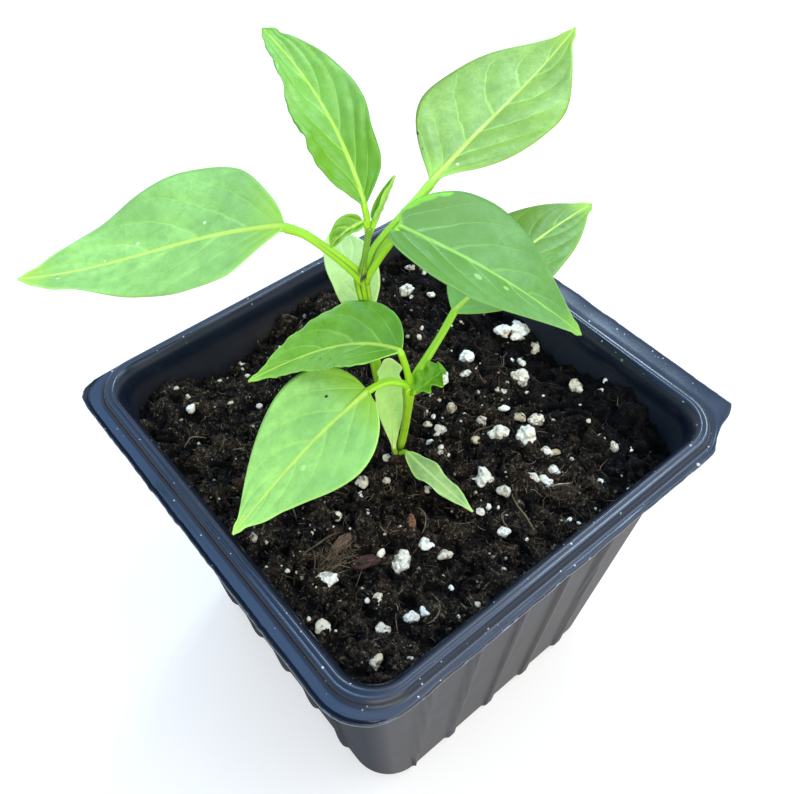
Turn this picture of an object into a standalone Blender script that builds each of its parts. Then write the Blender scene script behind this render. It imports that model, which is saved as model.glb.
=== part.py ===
"""A young chilli pepper plant in a square plastic nursery pot, in metres, +Z up.

The origin is the centre of the pot's underside, and the pot's sides lie along X and Y. The sizes and
places below are in millimetres, and make_object() turns them into metres. Leaves are named for where
they stand when the plant is seen from the pot's (-X, -Y) corner.
"""

import math
from typing import NamedTuple

import bmesh
import bpy
from mathutils import Matrix, Vector, noise
from mathutils.geometry import intersect_point_line

MM = 0.001
GAP = 0.35  # clearance between pieces that touch or grow together on the real plant

# Pot: a thermoformed shell. Half widths are measured from the pot's axis to a side.
POT_HEIGHT = 78.0
WALL = 0.8
FLOOR = 1.0
BASE_HALF = 33.5
WALL_TOP_HALF = 40.0
BASE_CORNER = 9.0
RIM_CORNER = 7.0
BEAD_HALF = 40.8
FLANGE_DROP = 1.5  # from the bead's crest down to the flat flange
LIP_DROP = 4.0  # from the bead's crest down to where the lip leaves the wall
# The rim's section over the top and back underneath: each point's distance out from the bead's half
# width, its change to the corner radius, and its height from the bead's crest
RIM_ABOVE = (
    (-1.3, -0.9, -1.3),
    (-0.5, 0.0, -0.15),
    (0.0, 0.4, 0.0),
    (0.7, 0.9, -0.1),
    (1.5, 1.5, 0.3 - FLANGE_DROP),
    (1.8, 1.7, -FLANGE_DROP),
)
RIM_BELOW = ((1.2, 1.0, -FLANGE_DROP - WALL), (0.3, 0.6, -1.0), (-0.3, 0.2, -1.3))
FLANGE_HALVES = (-45.2, 46.2, -44.2, 43.0)  # trimmed unevenly: -X, +X, -Y, +Y
RIB_DEPTH = 0.9
RIB_CREST = 1.3
RIB_FOOT = 2.9
RIB_PITCH = 11.4
RIB_COUNT = 5
RIB_SHIFT = -2.8  # the rib pattern sits off the middle of each side
RIB_TOP = 72.0
RIB_RUN_OUT = 1.2  # a rib slopes back into the wall over this height above its top
RIB_SLOPE = 1.0  # its raised face starts and ends this much nearer the base than its foot
BASE_CHAMFER = 1.5
BASE_INSET = 1.2  # the chamfer's width
INNER_FLOOR_INSET = 2.6
INNER_FILLET_TOP = 3.0
DRAIN_RADIUS = 4.0
DRAIN_OFFSET = 19.0
CORNER_POINTS = 6

# Potting mix
SOIL_LEVEL = 69.0
SOIL_EDGE_DROP = 3.0  # its lowest edge, where the narrowing pot has to clear it
SOIL_RINGS = 10
SOIL_SIDE_POINTS = 9
SOIL_CORNER_POINTS = 4
# Broad mounds and hollows of the surface: centre x, y, rise, spread
SOIL_SWELLS = (
    (-35, 34, 2.5, 10),
    (-16, 38, -4.0, 9),
    (6, 38, 2.5, 8),
    (40, -5, -3.0, 9),
    (36, -30, 3.5, 10),
    (30, 30, 1.5, 10),
)

# Stems: points up the middle with the radius there
MAIN_STEM = (
    ((-5.6, -5.2, 67.2), 0.80),
    ((-5.4, -5.0, 71.0), 0.80),
    ((-4.7, -3.1, 76.6), 0.85),
    ((-4.5, -0.2, 83.8), 0.90),
    ((-4.3, 2.1, 91.5), 0.95),
    ((-4.2, 3.2, 97.8), 1.00),
    ((-4.2, 4.0, 103.0), 1.05),
    ((-4.9, 3.8, 108.2), 1.15),
    ((-5.1, 3.3, 109.8), 0.95),
    ((-5.0, 2.8, 112.6), 0.50),
    ((-4.7, 2.0, 117.2), 0.48),
    ((-4.6, 1.6, 119.6), 0.60),
)
SIDE_SHOOT = (
    ((-4.6, -6.0, 74.2), 0.55),
    ((-4.7, -6.8, 81.0), 0.65),
    ((-5.6, -8.5, 88.9), 0.80),
    ((-6.8, -10.1, 95.4), 0.95),
)
# Roots: the tap root, then side roots as the depth they leave it at, their direction and their length
TAP_ROOT = (
    ((-5.6, -5.2, 66.8), 0.95),
    ((-5.2, -5.0, 58.0), 0.90),
    ((-4.0, -4.0, 44.0), 0.70),
    ((-5.0, -2.5, 30.0), 0.55),
    ((-3.5, -3.0, 18.0), 0.40),
)
SIDE_ROOTS = ((61.0, 20, 22), (57.0, 150, 26), (52.0, 265, 24), (47.0, 75, 27), (41.0, 205, 25))
SIDE_ROOT_RADIUS = 0.5
SIDE_ROOT_FALL = 0.55

# Perlite grains of 3 mm and over: x, y, width
PERLITE = (
    (34.4, 5.2, 6.0),
    (35.6, -0.9, 3.6),
    (22.6, 6.4, 3.0),
    (19.8, 3.0, 3.0),
    (14.3, 5.1, 4.0),
    (28.1, -4.5, 4.6),
    (30.8, 32.3, 4.0),
    (25.1, 28.4, 3.4),
    (13.9, -12.2, 3.8),
    (17.0, -17.0, 5.0),
    (22.4, -14.2, 3.4),
    (19.2, -22.2, 3.4),
    (4.7, -18.0, 4.0),
    (-18.3, -21.9, 3.4),
    (-31.0, -16.6, 3.6),
    (34.2, -14.1, 3.0),
)
POCKET_GAP = 0.45  # round each grain in the mix, measured along its axes
# Bark chips: x, y, length, width, direction
BARK = ((-24.6, -12.8, 6.4, 2.8, 15), (-23.2, -18.4, 4.8, 2.4, -20), (-12.2, -17.2, 3.4, 1.6, 50))

# Leaves
STALK_RADIUS = 0.6
BLADE_TOP = 0.16  # from the blade's middle surface to its upper face
MIDRIB_BELOW = 0.38  # the midrib stands out underneath
TIP_HALF = 0.22
STALK_FADE = 0.3  # the stalk's thickness is lost in the blade by this share of its length


class Leaf(NamedTuple):
    """A leaf: its stalk's points, then its blade, walked from the stalk to the tip."""

    name: str
    stalk: tuple
    heading: float  # degrees anticlockwise from +X at the blade's base
    turn: float  # degrees the heading changes over the blade
    pitch: tuple  # rise above level in degrees: at the base, then its first and second change
    length: float
    left: float  # half widths of the blade
    right: float
    swell: tuple  # exponents of the outline towards the base and towards the tip
    roll: float  # degrees, positive lifts the left half
    cup: float  # degrees that each half folds up along the midrib
    stalk_radius: float = STALK_RADIUS


LEAVES = (
    Leaf("leaf_left",
         ((-5.4, 3.2, 109.0), (-7.4, 4.8, 112.6), (-9.6, 6.6, 115.6), (-11.5, 8.8, 117.7),
          (-13.2, 11.4, 118.2)),
         130, 24, (-8, -52, 67), 44.2, 10.5, 13.3, (0.67, 1.26), -11, 8),
    Leaf("leaf_top",
         ((-4.5, 1.8, 120.2), (-4.6, 2.2, 121.9), (-4.7, 2.5, 123.3)),
         68, 36, (36, -5, -3), 30.0, 6.9, 5.8, (0.81, 0.95), -2, 26, 0.5),
    Leaf("leaf_upper_right",
         ((-4.6, 3.0, 109.5), (-2.0, 3.8, 112.4), (0.5, 4.0, 114.1), (4.8, 4.6, 115.8), (11.6, 6.3, 117.2)),
         18, -11, (8, -21, 40), 44.1, 13.7, 10.7, (1.2, 1.32), -1, 3),
    Leaf("leaf_middle_right",
         ((-4.3, 2.4, 109.5), (-3.0, 0.9, 114.1), (-2.4, -0.8, 117.5), (-0.6, -0.4, 118.9)),
         -60, 13, (-10, -48, 12), 34.7, 10.4, 8.3, (0.48, 1.04), 5, 13),
    Leaf("leaf_far_right",
         ((-5.7, -10.0, 96.2), (-2.0, -9.2, 99.1), (1.4, -8.4, 101.0), (5.5, -6.9, 102.5)),
         2, 1, (19, -24, 1), 33.6, 8.7, 7.9, (0.74, 1.13), 2, 6),
    Leaf("leaf_centre_left",
         ((-6.5, -9.9, 95.7), (-7.2, -9.9, 100.6), (-8.5, -10.1, 105.4)),
         99, 61, (-12, -62, 55), 29.8, 8.3, 8.1, (0.79, 1.46), -4, 14),
    Leaf("leaf_lower_left",
         ((-7.1, -10.2, 96.2), (-8.4, -9.9, 97.9), (-10.2, -9.1, 98.8), (-12.2, -8.6, 98.8),
          (-13.4, -8.1, 98.1)),
         171, 14, (-24, -25, 22), 31.2, 10.0, 10.7, (0.47, 1.24), -1, 6),
    Leaf("leaf_behind_stem",
         ((-4.8, 3.2, 94.6), (-4.5, 5.0, 95.8)),
         66, 33, (34, -27, -5), 22.6, 3.6, 4.6, (0.9, 1.06), 0, 10, 0.4),
    Leaf("tip_leaf_left",
         ((-5.2, 1.9, 120.3), (-6.4, 2.0, 120.3)),
         172, -6, (0, -10, 0), 4.2, 1.3, 1.3, (0.6, 0.9), -20, 40, 0.35),
    Leaf("tip_leaf_right",
         ((-3.7, 1.4, 120.6), (-2.6, 1.3, 122.4)),
         -10, -20, (60, 10, 0), 5.8, 0.8, 0.9, (0.5, 0.8), 0, 45, 0.35),
    Leaf("axil_leaf",
         ((-5.6, -11.2, 96.0), (-3.8, -11.7, 96.7)),
         -5, -10, (20, 10, 0), 5.4, 2.5, 2.4, (0.5, 0.35), -10, 20, 0.4),
    Leaf("seed_leaf_front",
         ((-4.4, -6.0, 72.2), (-4.4, -7.0, 72.6)),
         -90, 6, (4, -13, 2), 16.8, 2.1, 2.1, (0.49, 0.9), 0, 5, 0.5),
    Leaf("seed_leaf_back",
         ((-5.9, -5.2, 72.4), (-6.2, -5.3, 74.2)),
         64, 0, (79, 4, 2), 21.0, 3.0, 2.7, (0.98, 0.42), -4, 4, 0.4),
)
# Where along the blade its sections stand, close together where the outline turns fast
BLADE_STATIONS = (0.0, 0.05, 0.12, 0.21, 0.32, 0.44, 0.56, 0.68, 0.79, 0.88, 0.95, 1.0)


# Tools

def clear_scene():
    for obj in list(bpy.data.objects):
        bpy.data.objects.remove(obj, do_unlink=True)


def principled(name, colour, roughness):
    material = bpy.data.materials.new(name)
    material.use_nodes = True
    shader = material.node_tree.nodes["Principled BSDF"]
    shader.inputs["Base Color"].default_value = (*colour, 1.0)
    shader.inputs["Roughness"].default_value = roughness
    shader.inputs["Metallic"].default_value = 0.0
    return material


def make_object(name, points, faces, material=None):
    """A mesh object from points in millimetres, with its faces turned outwards."""
    bm = bmesh.new()
    vertices = [bm.verts.new(Vector(point) * MM) for point in points]
    for face in faces:
        bm.faces.new([vertices[i] for i in face])
    bmesh.ops.recalc_face_normals(bm, faces=bm.faces)
    mesh = bpy.data.meshes.new(name)
    bm.to_mesh(mesh)
    bm.free()
    mesh.shade_smooth()
    mesh.set_sharp_from_angle(angle=math.radians(50))
    obj = bpy.data.objects.new(name, mesh)
    bpy.context.scene.collection.objects.link(obj)
    if material:
        mesh.materials.append(material)
    return obj


def make_cutter(name, points, faces):
    obj = make_object(name, points, faces)
    obj.hide_render = True
    obj.display_type = "WIRE"
    return obj


def add_boolean(obj, operation, other):
    modifier = obj.modifiers.new(other.name, "BOOLEAN")
    modifier.operation = operation
    modifier.solver = "EXACT"
    modifier.object = other


def loft(rings):
    """The points and faces of a closed skin over rings with equal point counts, capped at both ends."""
    count = len(rings[0])
    points = [point for ring in rings for point in ring]
    faces = [tuple(range(count)), tuple(range(len(points) - count, len(points)))]
    for row in range(len(rings) - 1):
        for i in range(count):
            j = (i + 1) % count
            low = row * count
            faces.append((low + i, low + j, low + count + j, low + count + i))
    return points, faces


def smooth_path(points, spacing):
    """A Catmull-Rom curve through the points, read about every spacing millimetres."""
    points = [Vector(point) for point in points]
    first = points[0] * 2 - points[1]
    last = points[-1] * 2 - points[-2]
    padded = [first, *points, last]
    path = [points[0]]
    for i in range(len(points) - 1):
        a, b, c, d = padded[i:i + 4]
        steps = max(1, round((c - b).length / spacing))
        for step in range(1, steps + 1):
            t = step / steps
            path.append(0.5 * (2 * b + (c - a) * t + (2 * a - 5 * b + 4 * c - d) * t ** 2
                               + (3 * b - a - 3 * c + d) * t ** 3))
    return path


def tangents(path):
    ahead = [*path[1:], path[-1] * 2 - path[-2]]
    behind = [path[0] * 2 - path[1], *path[:-1]]
    return [(a - b).normalized() for a, b in zip(ahead, behind)]


def tube_rings(path, radii, sides=8):
    """Rings square to the path, turned as little as possible from one to the next."""
    rings = []
    across = Vector((1, 0, 0))
    for centre, radius, along in zip(path, radii, tangents(path)):
        across = (across - along * across.dot(along)).normalized()
        up = along.cross(across)
        angles = [2 * math.pi * i / sides for i in range(sides)]
        rings.append([centre + radius * (across * math.cos(a) + up * math.sin(a)) for a in angles])
    return rings


def tapered_path(knots, spacing):
    """A smooth path through knots of (point, radius), and the radius at each of its points."""
    path = smooth_path([point for point, radius in knots], spacing)
    return path, [radius_at(knots, point.z) for point in path]


def radius_at(knots, z):
    """The radius at a height, read along a stem or root whose heights run one way."""
    pairs = sorted((point[2], radius) for point, radius in knots)
    for (low, first), (high, second) in zip(pairs, pairs[1:]):
        if z <= high:
            share = max(0.0, (z - low) / (high - low))
            return first + (second - first) * share
    return pairs[-1][1]


# Pot

def wall_half(z):
    return BASE_HALF + (WALL_TOP_HALF - BASE_HALF) * z / POT_HEIGHT


def wall_corner(z):
    return BASE_CORNER + (RIM_CORNER - BASE_CORNER) * z / POT_HEIGHT


def side_distance(half, corner, u):
    """How far a rounded square's side lies from the axis at u along it, past the corner's start too."""
    past = max(0.0, abs(u) - (half - corner))
    return half - corner + math.sqrt(max(0.0, corner ** 2 - past ** 2))


def turned(point, side):
    """A point of the -Y side turned to the given side: 0 is -Y, 1 is +X, 2 is +Y, 3 is -X."""
    x, y, z = point
    return ((x, y, z), (-y, x, z), (-x, -y, z), (y, -x, z))[side]


def square_ring(half, corner, z, stops, corner_points, rib=0.0, rib_z=None):
    """A rounded square at height z. stops lists (u, raised): a raised stop stands out by rib, at rib_z."""
    ring = []
    for side in range(4):
        for u, raised in stops:
            away = side_distance(half, corner, u) + (rib if raised else 0.0)
            height = rib_z if raised and rib_z is not None else z
            ring.append(turned((u, -away, height), side))
        # The arc from this side's last stop to the next side's first stop
        start = math.asin(min(1.0, max(0.0, (stops[-1][0] - (half - corner)) / corner)))
        end = math.pi / 2 - math.asin(min(1.0, max(0.0, (-stops[0][0] - (half - corner)) / corner)))
        for i in range(corner_points):
            share = i / (corner_points - 1)
            if (i == 0 and start > 0) or (i == corner_points - 1 and end < math.pi / 2):
                share = (i + (0.5 if i == 0 else -0.5)) / (corner_points - 1)
            angle = start + (end - start) * share
            x = half - corner + corner * math.sin(angle)
            y = -(half - corner) - corner * math.cos(angle)
            ring.append(turned((x, y, z), side))
    return ring


def rib_stops():
    stops = []
    for k in range(RIB_COUNT):
        middle = RIB_SHIFT + RIB_PITCH * (k - (RIB_COUNT - 1) / 2)
        stops += [(middle - RIB_FOOT / 2, False), (middle - RIB_CREST / 2, True),
                  (middle + RIB_CREST / 2, True), (middle + RIB_FOOT / 2, False)]
    return stops


def flange_corners():
    """The flange's four trimmed corners, anticlockwise from the one at (+X, -Y), each a short outline."""
    west, east, south, north = FLANGE_HALVES
    scalloped = ((36.0, south + 0.3), (38.9, -42.2), (42.5, -41.0), (east - 0.5, -40.4), (east, -38.5))
    bumpy = ((east, 37.0), (east - 0.8, 40.0), (43.5, 41.2), (41.0, 42.7), (38.0, north))
    clipped = ((-38.0, north), (-41.0, 42.8), (-43.6, 42.0), (west + 0.4, 40.5), (west, 38.0))
    middle = Vector((west + 9.5, south + 9.5))
    rounded = [middle - 9.5 * Vector((math.cos(a), math.sin(a)))
               for a in (math.radians(d) for d in (0, 22.5, 45, 67.5, 90))]
    return scalloped, bumpy, clipped, rounded


def along_outline(outline, count):
    """count points spaced evenly along an open outline."""
    outline = [Vector(point) for point in outline]
    lengths = [(b - a).length for a, b in zip(outline, outline[1:])]
    points = []
    for i in range(count):
        left = sum(lengths) * i / (count - 1)
        row = 0
        while row < len(lengths) - 1 and left > lengths[row]:
            left -= lengths[row]
            row += 1
        points.append(outline[row].lerp(outline[row + 1], min(1.0, left / lengths[row])))
    return points


def flange_ring(z, stops):
    west, east, south, north = FLANGE_HALVES
    extents = (-south, east, north, -west)
    ring = []
    for side, corner in enumerate(flange_corners()):
        ring += [turned((u, -extents[side], z), side) for u, raised in stops]
        ring += [(point.x, point.y, z) for point in along_outline(corner, CORNER_POINTS)]
    return ring


def make_pot(material):
    stops = rib_stops()

    def plain(half, corner, z):
        return square_ring(half, corner, z, stops, CORNER_POINTS)

    def ribbed(z):
        return square_ring(wall_half(z), wall_corner(z), z, stops, CORNER_POINTS, RIB_DEPTH, z - RIB_SLOPE)

    def wall(z, inset=0.0):
        return plain(wall_half(z) - inset, wall_corner(z) - inset, z)

    def rim(section):
        return [plain(BEAD_HALF + out, RIM_CORNER + rounder, POT_HEIGHT + up)
                for out, rounder, up in section]

    flange_top = POT_HEIGHT - FLANGE_DROP
    rings = [
        plain(BASE_HALF - INNER_FLOOR_INSET, BASE_CORNER - INNER_FLOOR_INSET, FLOOR),
        wall(INNER_FILLET_TOP, WALL),
        wall(POT_HEIGHT - LIP_DROP, WALL),
        *rim(RIM_ABOVE),
        flange_ring(flange_top, stops),
        flange_ring(flange_top - WALL, stops),
        *rim(RIM_BELOW),
        wall(POT_HEIGHT - LIP_DROP),
        wall(RIB_TOP + RIB_RUN_OUT),
        ribbed(RIB_TOP),
        ribbed(BASE_CHAMFER),
        plain(BASE_HALF - BASE_INSET, BASE_CORNER - BASE_INSET, 0.0),
    ]
    pot = make_object("pot", *loft(rings), material)
    for number, (x, y) in enumerate(((1, 1), (-1, 1), (-1, -1), (1, -1)), 1):
        centre = Vector((x * DRAIN_OFFSET, y * DRAIN_OFFSET, 0.0))
        path = [centre - Vector((0, 0, 1)), centre + Vector((0, 0, FLOOR + 1))]
        hole = make_cutter(f"drain_cutter_{number}", *loft(tube_rings(path, (DRAIN_RADIUS,) * 2, 16)))
        add_boolean(pot, "DIFFERENCE", hole)


# Potting mix

def soil_height(x, y):
    """The height of the mix's surface, with broad swells and crumbly lumps."""
    height = SOIL_LEVEL
    for centre_x, centre_y, rise, spread in SOIL_SWELLS:
        height += rise * math.exp(-((x - centre_x) ** 2 + (y - centre_y) ** 2) / spread ** 2)
    height += 0.9 * noise.noise(Vector((x / 7, y / 7, 0.0)))
    return height + 0.45 * noise.noise(Vector((x / 3, y / 3, 5.0)))


def make_soil(material):
    straight = BASE_HALF - BASE_CORNER - 0.5
    stops = [(straight * (2 * i / (SOIL_SIDE_POINTS - 1) - 1), False) for i in range(SOIL_SIDE_POINTS)]

    def ring(half, corner, z):
        return square_ring(half, corner, z, stops, SOIL_CORNER_POINTS)

    # The inner fillet leans in more than the walls, so the mix stands a little further off it
    clear = WALL + GAP
    fillet_z = INNER_FILLET_TOP + GAP
    floor_half = BASE_HALF - INNER_FLOOR_INSET - 3 * GAP
    edge_z = SOIL_LEVEL - SOIL_EDGE_DROP
    rim = ring(wall_half(edge_z) - clear, wall_corner(SOIL_LEVEL) - clear, SOIL_LEVEL)
    rings = [
        ring(floor_half, BASE_CORNER - INNER_FLOOR_INSET - 2 * GAP, FLOOR + GAP),
        ring(wall_half(INNER_FILLET_TOP) - clear - 0.2, wall_corner(INNER_FILLET_TOP) - clear, fillet_z),
    ]
    for k in range(SOIL_RINGS):
        inwards = 1 - k / SOIL_RINGS
        rings.append([(x * inwards, y * inwards, soil_height(x * inwards, y * inwards)) for x, y, z in rim])
    points, faces = loft(rings)
    faces.pop(1)  # the innermost ring closes on a middle point instead of one flat face
    points.append((0.0, 0.0, soil_height(0.0, 0.0)))
    count = len(rings[0])
    last = len(points) - 1 - count
    faces += [(last + i, last + (i + 1) % count, len(points) - 1) for i in range(count)]
    return make_object("potting_mix", points, faces, material)


# Roots

def root_tubes(extra):
    """The tap root, and the side roots as separate tubes that start inside it, all thicker by extra."""
    path, radii = tapered_path(TAP_ROOT, 8)
    path[-1] = path[-1] - Vector((0, 0, extra))
    tap = tube_rings(path, [radius + extra for radius in radii], 6)
    sides = []
    for depth, direction, length in SIDE_ROOTS:
        start = min(path, key=lambda point: abs(point.z - depth))
        angle = math.radians(direction)
        out = Vector((math.cos(angle), math.sin(angle), -SIDE_ROOT_FALL))
        bend = Vector((-math.sin(angle), math.cos(angle), 0.0)) * 3
        start = Vector((start.x, start.y, depth))
        tip = start + out * length * 0.75 - bend * 0.3
        route = [start - out * extra, start + out * length * 0.4 + bend, tip + out * extra]
        thickness = [SIDE_ROOT_RADIUS * share + extra for share in (1.0, 0.8, 0.5)]
        sides.append(tube_rings(route, thickness, 6))
    return tap, sides


def joined(shapes):
    """The points and faces of several lofts as one mesh."""
    points = []
    faces = []
    for shape_points, shape_faces in shapes:
        faces += [tuple(i + len(points) for i in face) for face in shape_faces]
        points += shape_points
    return points, faces


def make_roots(material, soil):
    tap, sides = root_tubes(0.0)
    roots = make_object("root_system", *loft(tap), material)
    add_boolean(roots, "UNION", make_cutter("side_roots", *joined([loft(rings) for rings in sides])))
    tap, sides = root_tubes(GAP)
    add_boolean(soil, "DIFFERENCE", make_cutter("side_root_cutter", *joined([loft(r) for r in sides])))
    stem_bore = [(*TAP_ROOT[0][0][:2], SOIL_LEVEL + 4), TAP_ROOT[0][0]]
    bore = tube_rings([Vector(point) for point in stem_bore], (MAIN_STEM[0][1] + 2 * GAP,) * 2, 6)
    add_boolean(soil, "DIFFERENCE", make_cutter("tap_root_cutter", *loft([bore[0], *tap])))


# Stems and leaves

def make_stem(name, knots, material, spacing, clear_of=()):
    """A stem as a tapered tube. Returns its (point, radius) pairs, for its leaves to keep clear of."""
    path, radii = tapered_path(knots, spacing)
    pairs = clear_start(list(zip(path, radii)), clear_of)
    rings = tube_rings([point for point, radius in pairs], [radius for point, radius in pairs])
    make_object(name, *loft(rings), material)
    return pairs


def room_beside(point, stem):
    """How far a point lies from the surface of a tapered stem."""
    rooms = []
    for (low, first), (high, second) in zip(stem, stem[1:]):
        share = intersect_point_line(point, low, high)[1]
        share = min(1.0, max(0.0, share))
        rooms.append((point - low.lerp(high, share)).length - first - (second - first) * share)
    return min(rooms)


def clear_start(pairs, stems):
    """Drops the first points of a tapered path until the rest keeps GAP from the stems."""
    for first in range(len(pairs) - 1, -1, -1):
        point, radius = pairs[first]
        if any(room_beside(point, stem) < radius + GAP for stem in stems):
            return pairs[first + 1:]
    return pairs


def blade_frames(leaf, base):
    """The midrib's points, with the directions to the blade's left and out of its upper face."""
    frames = []
    point = base
    fine = 4
    marks = []
    for t, after in zip(BLADE_STATIONS, BLADE_STATIONS[1:]):
        marks += [t + (after - t) * i / fine for i in range(fine)]
    marks.append(1.0)
    previous = 0.0
    for index, t in enumerate(marks):
        middle = (t + previous) / 2
        point = point + leaf_direction(leaf, middle) * leaf.length * (t - previous)
        previous = t
        if index % fine:
            continue
        along = leaf_direction(leaf, t)
        heading = math.radians(leaf.heading + leaf.turn * t)
        left = Vector((-math.sin(heading), math.cos(heading), 0.0))
        rolled = Matrix.Rotation(math.radians(leaf.roll), 3, along)
        frames.append((t, point, rolled @ left, rolled @ along.cross(left)))
    return frames


def leaf_direction(leaf, t):
    heading = math.radians(leaf.heading + leaf.turn * t)
    base, first, second = leaf.pitch
    pitch = math.radians(base + first * t + second * t * t)
    level = math.cos(pitch)
    return Vector((level * math.cos(heading), level * math.sin(heading), math.sin(pitch)))


def outline_share(swell, t):
    """The blade's half width at t as a share of its greatest half width."""
    base, tip = swell
    peak = base / (base + tip)
    return (t ** base) * ((1 - t) ** tip) / ((peak ** base) * ((1 - peak) ** tip))


def blade_ring(leaf, frame):
    """Eight points round the blade: left edge, three on the upper face, right edge, three below."""
    t, middle, left, up = frame
    stalk = leaf.stalk_radius * max(0.0, 1 - t / STALK_FADE)
    share = outline_share(leaf.swell, min(max(t, 0.0), 1.0))
    fold = math.radians(leaf.cup)

    def across(s):
        width = leaf.left if s > 0 else leaf.right
        reach = math.hypot(width * share, max(stalk, TIP_HALF)) * abs(s)
        angle = fold * abs(s) ** 0.6
        return middle + math.copysign(reach * math.cos(angle), s) * left + reach * math.sin(angle) * up

    above = up * max(BLADE_TOP, stalk * 0.9)
    below = -up * max(BLADE_TOP, stalk * 0.9)
    rib = -up * max(MIDRIB_BELOW * (1 - t * 0.5), stalk)
    return [across(1.0), across(0.5) + above * 0.9, middle + above, across(-0.5) + above * 0.9,
            across(-1.0), across(-0.5) + below, middle + rib, across(0.5) + below]


def make_leaf(leaf, material, stems):
    stalk = smooth_path(leaf.stalk, 2.2)
    kept = len(clear_start([(point, leaf.stalk_radius) for point in stalk[:-1]], stems))
    frames = blade_frames(leaf, stalk[-1])
    rings = [blade_ring(leaf, frame) for frame in frames]
    # The stalk's sections follow down from the blade, turned as little as possible
    left = frames[0][2]
    below_blade = list(zip(stalk, tangents(stalk)))[-1 - kept:-1]
    for point, along in reversed(below_blade):
        left = (left - along * left.dot(along)).normalized()
        up = along.cross(left)
        turns = [math.pi * i / 4 for i in range(8)]
        rings.insert(0, [point + leaf.stalk_radius * (left * math.cos(a) + up * math.sin(a)) for a in turns])
    make_object(leaf.name, *loft(rings), material)


# Grains and chips lying in the mix

def lump(centre, sizes, direction, seed, extra=0.0):
    """A rough grain: a ball of 42 points pushed in and out, stretched, and turned about Z."""
    bm = bmesh.new()
    bmesh.ops.create_icosphere(bm, subdivisions=2, radius=1.0)
    turn = Matrix.Rotation(math.radians(direction), 3, "Z")
    points = []
    for vertex in bm.verts:
        push = 1 + 0.16 * noise.noise(vertex.co * 1.7 + Vector((seed, 0, 0)))
        stretched = Vector([c * push * size / 2 + math.copysign(extra, c) * abs(c)
                            for c, size in zip(vertex.co, sizes)])
        points.append(centre + turn @ stretched)
    faces = [tuple(vertex.index for vertex in face.verts) for face in bm.faces]
    bm.free()
    return points, faces


def resting_height(x, y, height):
    """Where a grain's middle lies: a little over a third of it is down in the mix."""
    return soil_height(x, y) + height * 0.12


def make_grains(perlite, bark, soil):
    pockets = []
    for number, (x, y, width) in enumerate(PERLITE, 1):
        sizes = (width, width * 0.85, width * 0.75)
        centre = Vector((x, y, resting_height(x, y, sizes[2])))
        make_object(f"perlite_{number:02d}", *lump(centre, sizes, 40 * number, number), perlite)
        pockets.append(lump(centre, sizes, 40 * number, number, POCKET_GAP))
    for number, (x, y, length, width, direction) in enumerate(BARK, 1):
        sizes = (length, width, width * 0.6)
        centre = Vector((x, y, resting_height(x, y, sizes[2])))
        make_object(f"bark_chip_{number}", *lump(centre, sizes, direction, 30 + number), bark)
        pockets.append(lump(centre, sizes, direction, 30 + number, POCKET_GAP))
    add_boolean(soil, "DIFFERENCE", make_cutter("grain_pockets", *joined(pockets)))


def main():
    clear_scene()
    leaf_green = principled("leaf_green", (0.16, 0.42, 0.06), 0.45)
    pale_green = principled("pale_green", (0.32, 0.55, 0.14), 0.5)
    stem_green = principled("stem_green", (0.22, 0.42, 0.06), 0.5)
    make_pot(principled("black_plastic", (0.03, 0.035, 0.045), 0.35))
    soil = make_soil(principled("peat", (0.02, 0.013, 0.008), 0.95))
    make_roots(principled("root_cream", (0.6, 0.5, 0.35), 0.8), soil)
    perlite = principled("perlite", (0.8, 0.8, 0.74), 0.9)
    make_grains(perlite, principled("bark", (0.12, 0.06, 0.03), 0.9), soil)
    main_stem = make_stem("main_stem", MAIN_STEM, stem_green, 4.5)
    side_shoot = make_stem("side_shoot", SIDE_SHOOT, stem_green, 3.5, [main_stem])
    stems = [main_stem, side_shoot]
    pale = ("leaf_behind_stem", "seed_leaf_front", "seed_leaf_back")
    for leaf in LEAVES:
        make_leaf(leaf, pale_green if leaf.name in pale else leaf_green, stems)


main()
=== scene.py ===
import math
import random
from typing import NamedTuple

import bmesh
import bpy
import numpy as np
from mathutils import Matrix, Quaternion, Vector, noise


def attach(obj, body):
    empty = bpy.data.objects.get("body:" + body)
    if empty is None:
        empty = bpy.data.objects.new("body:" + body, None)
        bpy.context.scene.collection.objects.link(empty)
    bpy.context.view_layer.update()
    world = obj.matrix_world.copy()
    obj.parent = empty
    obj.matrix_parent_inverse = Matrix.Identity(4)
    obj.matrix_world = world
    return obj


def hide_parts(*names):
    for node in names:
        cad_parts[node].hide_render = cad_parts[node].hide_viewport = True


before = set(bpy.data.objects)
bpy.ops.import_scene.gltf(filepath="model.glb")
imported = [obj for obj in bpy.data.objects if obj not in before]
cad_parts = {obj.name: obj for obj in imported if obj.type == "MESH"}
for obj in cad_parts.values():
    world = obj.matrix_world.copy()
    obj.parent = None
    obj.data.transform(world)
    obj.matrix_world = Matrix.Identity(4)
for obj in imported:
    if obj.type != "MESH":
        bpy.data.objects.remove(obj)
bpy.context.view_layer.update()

# --- Nursery pot ---
# One thin shell of black plastic, drawn hot into a square mould. Its rim is rolled into a double bead and
# a flat flange, left ragged where the sheet was cut off, and five ribs stiffen each side.

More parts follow.
